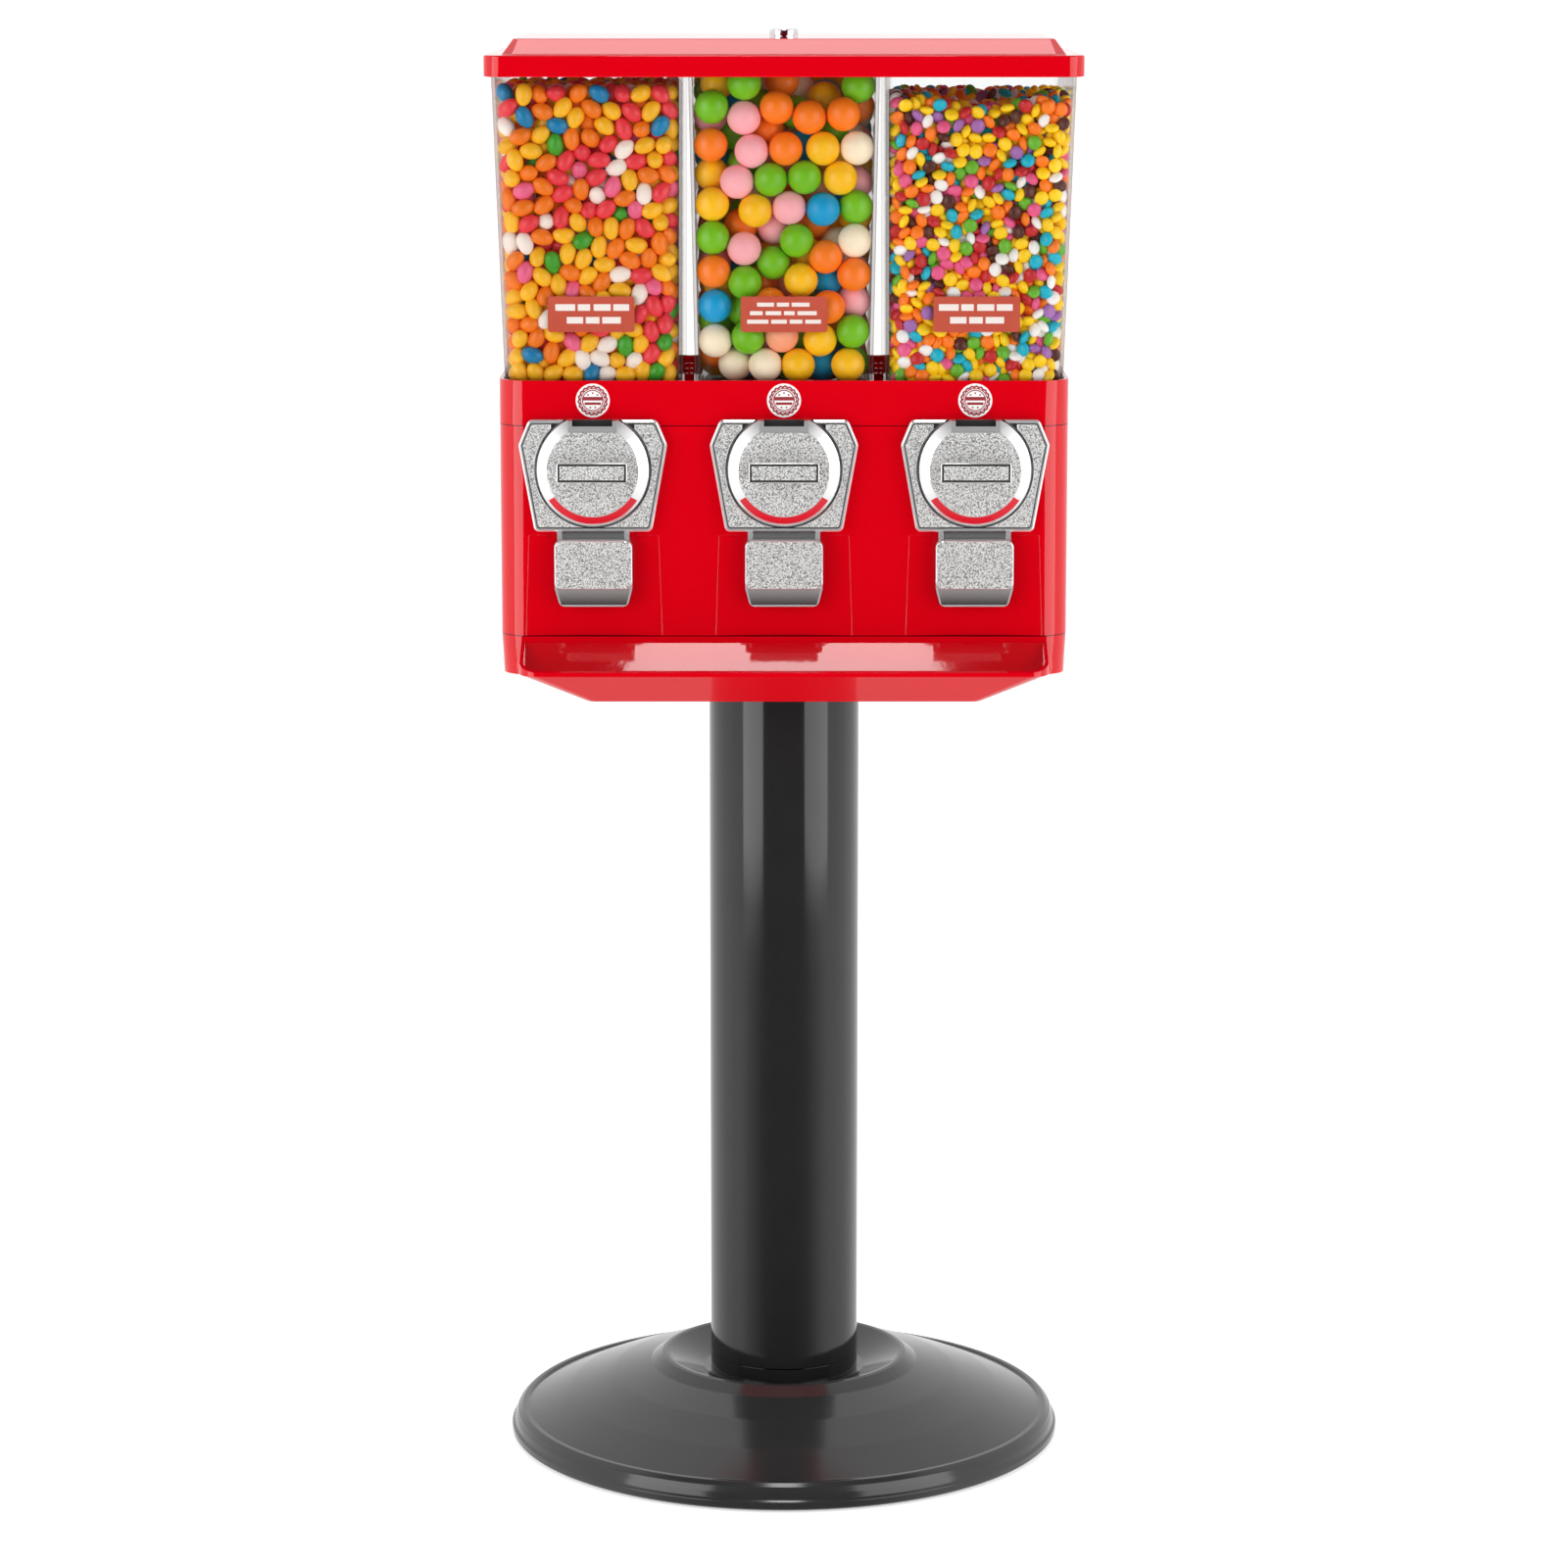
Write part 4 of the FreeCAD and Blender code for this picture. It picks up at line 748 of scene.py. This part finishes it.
def random_rotations(rng, n, wall, lean):
    """n rotations, with third axes that lean towards the walls if lean is above 0, or along them if below."""
    axis = rng.normal(size=(n, 3))
    axis /= np.linalg.norm(axis, axis=1)[:, None]
    if lean:
        axis = axis + (lean if lean > 0 else lean * (axis * wall).sum(1)[:, None]) * wall
        axis /= np.linalg.norm(axis, axis=1)[:, None]
    other = rng.normal(size=(n, 3))
    other -= axis * (other * axis).sum(1)[:, None]
    other /= np.linalg.norm(other, axis=1)[:, None]
    return np.stack([other, np.cross(axis, other), axis], axis=2)


def neighbours(p, reach):
    """Index pairs of the points that are near enough to touch soon, found through a grid of cells."""
    n = len(p)
    cell = np.floor(p / reach).astype(int)
    key = (cell[:, 0] + 64) * 16384 + (cell[:, 1] + 64) * 128 + cell[:, 2]
    order = np.argsort(key, kind="stable")
    keys = key[order]
    firsts, seconds = [], []
    steps = [(dx, dy, dz) for dx in (-1, 0, 1) for dy in (-1, 0, 1) for dz in (-1, 0, 1)]
    for dx, dy, dz in steps:
        wanted = key + dx * 16384 + dy * 128 + dz
        start = np.searchsorted(keys, wanted, "left")
        stop = np.searchsorted(keys, wanted, "right")
        length = stop - start
        i = np.repeat(np.arange(n), length)
        offsets = np.arange(length.sum()) - np.repeat(np.cumsum(length) - length, length)
        j = order[np.repeat(start, length) + offsets]
        keep = i < j
        firsts.append(i[keep])
        seconds.append(j[keep])
    i, j = np.concatenate(firsts), np.concatenate(seconds)
    close = np.linalg.norm(p[j] - p[i], axis=1) < reach + 0.003
    return i[close], j[close]


def keep_inside(p, extent, x):
    """Moves points sideways, in place, so that their sweets stay inside the walls and round corners."""
    share = np.clip((p[:, 2] - FLOOR_Z) / (RIM_Z - FLOOR_Z), 0, 1)
    shift = (math.copysign(LEAN, x) if x else 0.0) * share
    half_w = BASE_HALF[0] + (TOP_HALF[0] - BASE_HALF[0]) * share - WALL_T - WALL_GAP
    half_d = BASE_HALF[1] + (TOP_HALF[1] - BASE_HALF[1]) * share - WALL_T - WALL_GAP
    local = p[:, 0] - shift
    local = np.clip(local, -half_w + extent[:, 0], half_w - extent[:, 0])
    deep = np.clip(p[:, 1], -half_d + extent[:, 1], half_d - extent[:, 1])
    corner = CORNER - WALL_T
    cx, cy = np.abs(local) - (half_w - corner), np.abs(deep) - (half_d - corner)
    both = (cx > 0) & (cy > 0)
    out = np.hypot(cx, cy)
    room = np.maximum(corner - extent[:, :2].mean(axis=1), 0.0005)
    pull = np.where(both & (out > room), room / np.maximum(out, 1e-9), 1.0)
    local = np.where(both, np.sign(local) * (half_w - corner + cx * pull), local)
    deep = np.where(both, np.sign(deep) * (half_d - corner + cy * pull), deep)
    p[:, 0], p[:, 1] = local + shift, deep


def leave_core(p, extent, core):
    """Pushes points, in place, out of the block in the middle by its nearest face."""
    q = [core[0] + extent[:, 0] - np.abs(p[:, 0]), core[1] + extent[:, 1] - np.abs(p[:, 1]),
         core[2] + extent[:, 2] - p[:, 2]]
    inside = (q[0] > 0) & (q[1] > 0) & (q[2] > 0)
    least = np.argmin(np.stack(q), axis=0)
    for axis in range(3):
        m = inside & (least == axis)
        way_out = np.sign(p[m, axis]) if axis < 2 else 1.0
        p[m, axis] += way_out * q[axis][m]


def settle(x, half_axes, count, seed, top, core=None, steps=260, rod=0.0, lean_to_wall=0.0):
    """Fills the canister at x with ellipsoids up to top and pushes them apart: their centres and rotations.

    core is a block in the middle that they stay out of, and rod is the radius of the rod down the middle.
    """
    rng = np.random.default_rng(seed)
    a = np.array(half_axes)
    grip = 0.0006
    low = np.array([-0.058, -0.095, BED_Z + 0.004])
    high = np.array([0.058, 0.095, top - 0.003])
    p = low + rng.random((count * 4, 3)) * (high - low)
    if core is not None:
        inside = (np.abs(p[:, 0]) < core[0]) & (np.abs(p[:, 1]) < core[1]) & (p[:, 2] < core[2])
        p = p[~inside]
    p = p[:count]
    n = len(p)
    side_wall = np.zeros((n, 3))
    if lean_to_wall:
        near_y = (0.0975 - np.abs(p[:, 1])) < (0.0605 - np.abs(p[:, 0]))
        side_wall[near_y, 1] = np.sign(p[near_y, 1])
        side_wall[~near_y, 0] = np.sign(p[~near_y, 0])
    rot = random_rotations(rng, n, side_wall, lean_to_wall)
    stretch = rot * a
    inverse = rot / a
    reach = 2 * a.max() + grip

    def radius(index, way):
        wide = np.linalg.norm(np.einsum("nij,ni->nj", stretch[index], way), axis=1)
        narrow = 1 / np.linalg.norm(np.einsum("nij,ni->nj", inverse[index], way), axis=1)
        return np.sqrt(wide * narrow)

    extent = np.linalg.norm(stretch, axis=2)
    for step in range(steps):
        p[:, 2] -= 0.00004
        if step % 4 == 0:
            i, j = neighbours(p, reach)
        for _ in range(2):
            gap = p[j] - p[i]
            length = np.maximum(np.linalg.norm(gap, axis=1), 1e-6)
            way = gap / length[:, None]
            over = radius(i, way) + radius(j, way) - length
            hit = over > 0
            push = np.zeros_like(p)
            touches = np.ones(n)
            move = way[hit] * over[hit][:, None] * 0.5
            np.add.at(push, i[hit], -move)
            np.add.at(push, j[hit], move)
            np.add.at(touches, i[hit], 0.35)
            np.add.at(touches, j[hit], 0.35)
            p += push / touches[:, None] * 1.25
            keep_inside(p, extent, x)
            p[:, 2] = np.clip(p[:, 2], BED_Z + extent[:, 2], top - 0.5 * extent[:, 2])
            if rod:
                away = np.hypot(p[:, 0], p[:, 1])
                close_in = away < rod + a.max()
                factor = (rod + a.max()) / np.maximum(away, 1e-6)
                p[close_in, 0] *= factor[close_in]
                p[close_in, 1] *= factor[close_in]
            if core is not None:
                leave_core(p, extent, core)
    p[:, 0] += x
    return p, rot


def sweets(prefix, template, faces, centres, rotations, half_axes, palette, seed, **looks):
    """One joined mesh per colour, each sweet an island of it."""
    rng = np.random.default_rng(seed)
    weights = np.array([share for _, _, share in palette], float)
    choice = rng.choice(len(palette), size=len(centres), p=weights / weights.sum())
    for index, (colour_name, colour, _) in enumerate(palette):
        picked = np.nonzero(choice == index)[0]
        if not len(picked):
            continue
        shaped = np.einsum("nij,vj->nvi", rotations[picked] * np.array(half_axes), template)
        verts = (shaped + centres[picked][:, None, :]).reshape(-1, 3)
        count = len(template)
        all_faces = [tuple(v + count * k for v in face) for k in range(len(picked)) for face in faces]
        extra = dict(looks)
        if colour_name == "speckled":
            extra["speckle"] = (0.55, 0.62, 0.2)
        name = f"{prefix}_{colour_name}"
        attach(mesh_object(name, verts, all_faces, candy(name, colour, **extra)), ROOT)


def bean_template():
    """An egg-like bean, one end a little fuller, with a faint curve."""
    unit, faces = ball_template(16, 10)
    z = unit[:, 2]
    unit[:, 0] *= 1 + 0.07 * z
    unit[:, 1] *= 1 + 0.07 * z
    unit[:, 0] += 0.10 * (z ** 2 - 0.35)
    return unit, faces


GUM_R = 0.0120
gum_p, gum_r = settle(0.0, (GUM_R,) * 3, 405, 11, steps=300, rod=0.0032, top=1.0165)
unit, faces = ball_template(32, 18)
sweets("gumballs", unit, faces, gum_p, gum_r, (GUM_R,) * 3, [
    ("green", (0.17, 0.5, 0.008), 24), ("orange", (0.98, 0.2, 0.008), 16), ("yellow", (1.0, 0.52, 0.006), 19),
    ("blue", (0.003, 0.33, 0.64), 11), ("pink", (1.0, 0.42, 0.46), 14), ("peach", (1.0, 0.36, 0.2), 10),
    ("cream", (0.95, 0.8, 0.58), 6), ("speckled", (0.24, 0.46, 0.04), 2)], 5, low=0.3, high=0.4, mottle=0.03,
    grain=500.0)

BEAN = (0.0059, 0.0059, 0.0082)
bean_core = (0.040, 0.076, 0.972)
bean_p, bean_r = settle(-0.135, BEAN, 1690, 21, core=bean_core, lean_to_wall=-0.6, top=1.0035)
unit, faces = bean_template()
sweets("jelly_beans", unit, faces, bean_p, bean_r, BEAN, [
    ("yellow", (0.92, 0.46, 0.012), 36), ("orange", (0.86, 0.18, 0.006), 25),
    ("coral", (0.78, 0.04, 0.055), 17), ("white", (0.9, 0.78, 0.7), 7), ("green", (0.05, 0.33, 0.02), 4),
    ("blue", (0.008, 0.2, 0.42), 2.5), ("pink", (0.8, 0.12, 0.24), 7)],
    6, low=0.26, high=0.36, mottle=0.05, glow=0.04)

GEM = (0.0052, 0.0052, 0.003)
gem_core = (0.0475, 0.0845, 0.976)
gem_p, gem_r = settle(0.135, GEM, 4100, 31, core=gem_core, lean_to_wall=0.75, top=1.004)
surface = 0.9975 - 0.009 * np.exp(-((gem_p[:, 0] - 0.14) / 0.03) ** 2) * (gem_p[:, 1] < 0.03)
keep = gem_p[:, 2] < surface
gem_p, gem_r = gem_p[keep], gem_r[keep]
unit, faces = ball_template(16, 8)
sweets("candy_gems", unit, faces, gem_p, gem_r, GEM, [
    ("yellow", (1.0, 0.62, 0.006), 34), ("orange", (0.98, 0.2, 0.008), 17), ("pink", (0.8, 0.1, 0.25), 9),
    ("green", (0.14, 0.45, 0.025), 8), ("cyan", (0.006, 0.44, 0.58), 8), ("white", (0.9, 0.86, 0.82), 11),
    ("brown", (0.1, 0.026, 0.018), 5), ("red", (0.56, 0.02, 0.025), 6), ("purple", (0.36, 0.14, 0.42), 4)],
    7, low=0.28, high=0.38, mottle=0.04, glow=0.05)


def heap(name, x, core, colours):
    """The bulk of the sweets behind the outer layers: a lumpy block in mixed dark tones, which are painted
    shade of the sweets deep inside.
    """
    nx, ny, nz, lump = 24, 40, 48, 0.002
    rng = np.random.default_rng(3)
    verts, index = [], {}
    low, high = np.array([-core[0], -core[1], 0.8]), np.array([core[0], core[1], core[2]])
    for i in range(nx + 1):
        for j in range(ny + 1):
            for k in range(nz + 1):
                if 0 < i < nx and 0 < j < ny and 0 < k < nz:
                    continue
                t = np.array([i / nx, j / ny, k / nz])
                q = low + t * (high - low) + (rng.random(3) - 0.5) * lump
                index[(i, j, k)] = len(verts)
                verts.append((q[0] + x, q[1], q[2]))
    faces = []

    def quad(*corners):
        faces.append([index[corner] for corner in corners])

    for i in range(nx):
        for j in range(ny):
            quad((i, j, 0), (i, j + 1, 0), (i + 1, j + 1, 0), (i + 1, j, 0))
            quad((i, j, nz), (i + 1, j, nz), (i + 1, j + 1, nz), (i, j + 1, nz))
    for i in range(nx):
        for k in range(nz):
            quad((i, 0, k), (i + 1, 0, k), (i + 1, 0, k + 1), (i, 0, k + 1))
            quad((i, ny, k), (i, ny, k + 1), (i + 1, ny, k + 1), (i + 1, ny, k))
    for j in range(ny):
        for k in range(nz):
            quad((0, j, k), (0, j, k + 1), (0, j + 1, k + 1), (0, j + 1, k))
            quad((nx, j, k), (nx, j + 1, k), (nx, j + 1, k + 1), (nx, j, k + 1))
    m = Nodes(f"{name}_mix", Roughness=0.6)
    # Painted shade: the block's tones are darker than the sweets' own colours.
    m.colour(m.mix(m.ramp(m.voronoi(90.0), 0.2, 0.6, 0.0, 1.0), *colours))
    obj = mesh_object(name, verts, faces, m.material)
    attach(obj, ROOT)


heap("jelly_bean_heap", -0.135, bean_core, ((0.5, 0.16, 0.03), (0.4, 0.08, 0.03)))
heap("candy_gem_heap", 0.135, gem_core, ((0.3, 0.1, 0.03), (0.1, 0.03, 0.02)))


# ---- stage ---------------------------------------------------------------------------------------

floor_mat = Nodes("studio_floor", Specular_IOR_Level=0.1, Emission_Color=(1.0, 1.0, 1.0),
                  Emission_Strength=0.56)
floor_mat.colour(floor_mat.mix(floor_mat.noise(3.0, 3.0), (0.86, 0.86, 0.86), (0.88, 0.88, 0.88)))
floor_mat.rough(floor_mat.ramp(floor_mat.noise(8.0, 3.0), 0.3, 0.7, 0.6, 0.7))
FLOOR_R, FLOOR_SIDES = 60, 96
turns = [2 * math.pi * k / FLOOR_SIDES for k in range(FLOOR_SIDES)]
ring = [(FLOOR_R * math.cos(a), FLOOR_R * math.sin(a), 0.0) for a in turns]
floor = mesh_object("floor", ring, [tuple(range(FLOOR_SIDES))], floor_mat.material, smooth=False)
floor.visible_glossy = False

world = bpy.data.worlds.new("studio")
bpy.context.scene.world = world
world.use_nodes = True


def studio_world(tree):
    """White to the camera; as a light, bright at the sides and back and dark to the front and overhead."""
    new, link = tree.nodes.new, tree.links.new
    background = tree.nodes["Background"]
    place, split, ray = new("ShaderNodeTexCoord"), new("ShaderNodeSeparateXYZ"), new("ShaderNodeLightPath")
    link(place.outputs["Generated"], split.inputs[0])

    def ramp(value, low, high, to_low, to_high):
        node = new("ShaderNodeMapRange")
        node.interpolation_type = "SMOOTHSTEP"
        link(value, node.inputs["Value"])
        for name, number in (("From Min", low), ("From Max", high), ("To Min", to_low), ("To Max", to_high)):
            node.inputs[name].default_value = number
        return node.outputs["Result"]

    def maths(operation, a, b):
        node = new("ShaderNodeMath")
        node.operation = operation
        for socket, value in zip(node.inputs, (a, b)):
            if isinstance(value, float):
                socket.default_value = value
            else:
                link(value, socket)
        return node.outputs[0]

    around = ramp(split.outputs[1], -0.95, -0.25, 0.0, 1.05)
    above = ramp(split.outputs[2], 0.55, 0.85, 1.0, 0.1)
    above = maths("MAXIMUM", above, ramp(split.outputs[1], 0.02, 0.16, 0.0, 1.0))
    below = ramp(split.outputs[2], -0.95, -0.4, 0.3, 1.0)
    light = maths("MULTIPLY", around, maths("MULTIPLY", above, below))
    seen = ray.outputs["Is Camera Ray"]
    unseen = maths("MULTIPLY", maths("SUBTRACT", 1.0, seen), light)
    link(maths("ADD", maths("MULTIPLY", seen, 1.02), unseen), background.inputs["Strength"])
    background.inputs["Color"].default_value = (1.0, 1.0, 1.0, 1.0)


studio_world(world.node_tree)


def softbox(name, place, target, size, power):
    light = bpy.data.lights.new(name, "AREA")
    light.shape, light.size, light.size_y, light.energy = "RECTANGLE", size[0], size[1], power
    obj = bpy.data.objects.new(name, light)
    bpy.context.scene.collection.objects.link(obj)
    obj.location = place
    obj.rotation_euler = (Vector(target) - Vector(place)).to_track_quat("-Z", "Y").to_euler()
    obj.visible_camera = False


softbox("left_softbox", (-2.3, -2.0, 1.15), (0, 0, 0.65), (2.0, 2.8), 48)
softbox("right_softbox", (2.4, -1.9, 1.15), (0, 0, 0.65), (2.4, 2.8), 48)
softbox("top_softbox", (0, -0.36, 2.6), (0, -0.36, 0.6), (0.36, 0.62), 6)
softbox("lid_softbox", (0, 0.26, 2.8), (0, 0.26, 0.6), (0.9, 0.24), 3.4)

camera_data = bpy.data.cameras.new("camera")
camera_data.sensor_width = 36.0
camera_data.lens = 109.0
camera = bpy.data.objects.new("camera", camera_data)
bpy.context.scene.collection.objects.link(camera)
camera.location = (0.0, -3.45, 1.113)
camera.rotation_euler = (math.radians(90 - 10.2), 0, 0)
bpy.context.scene.camera = camera
bpy.context.scene.view_settings.view_transform = "Standard"
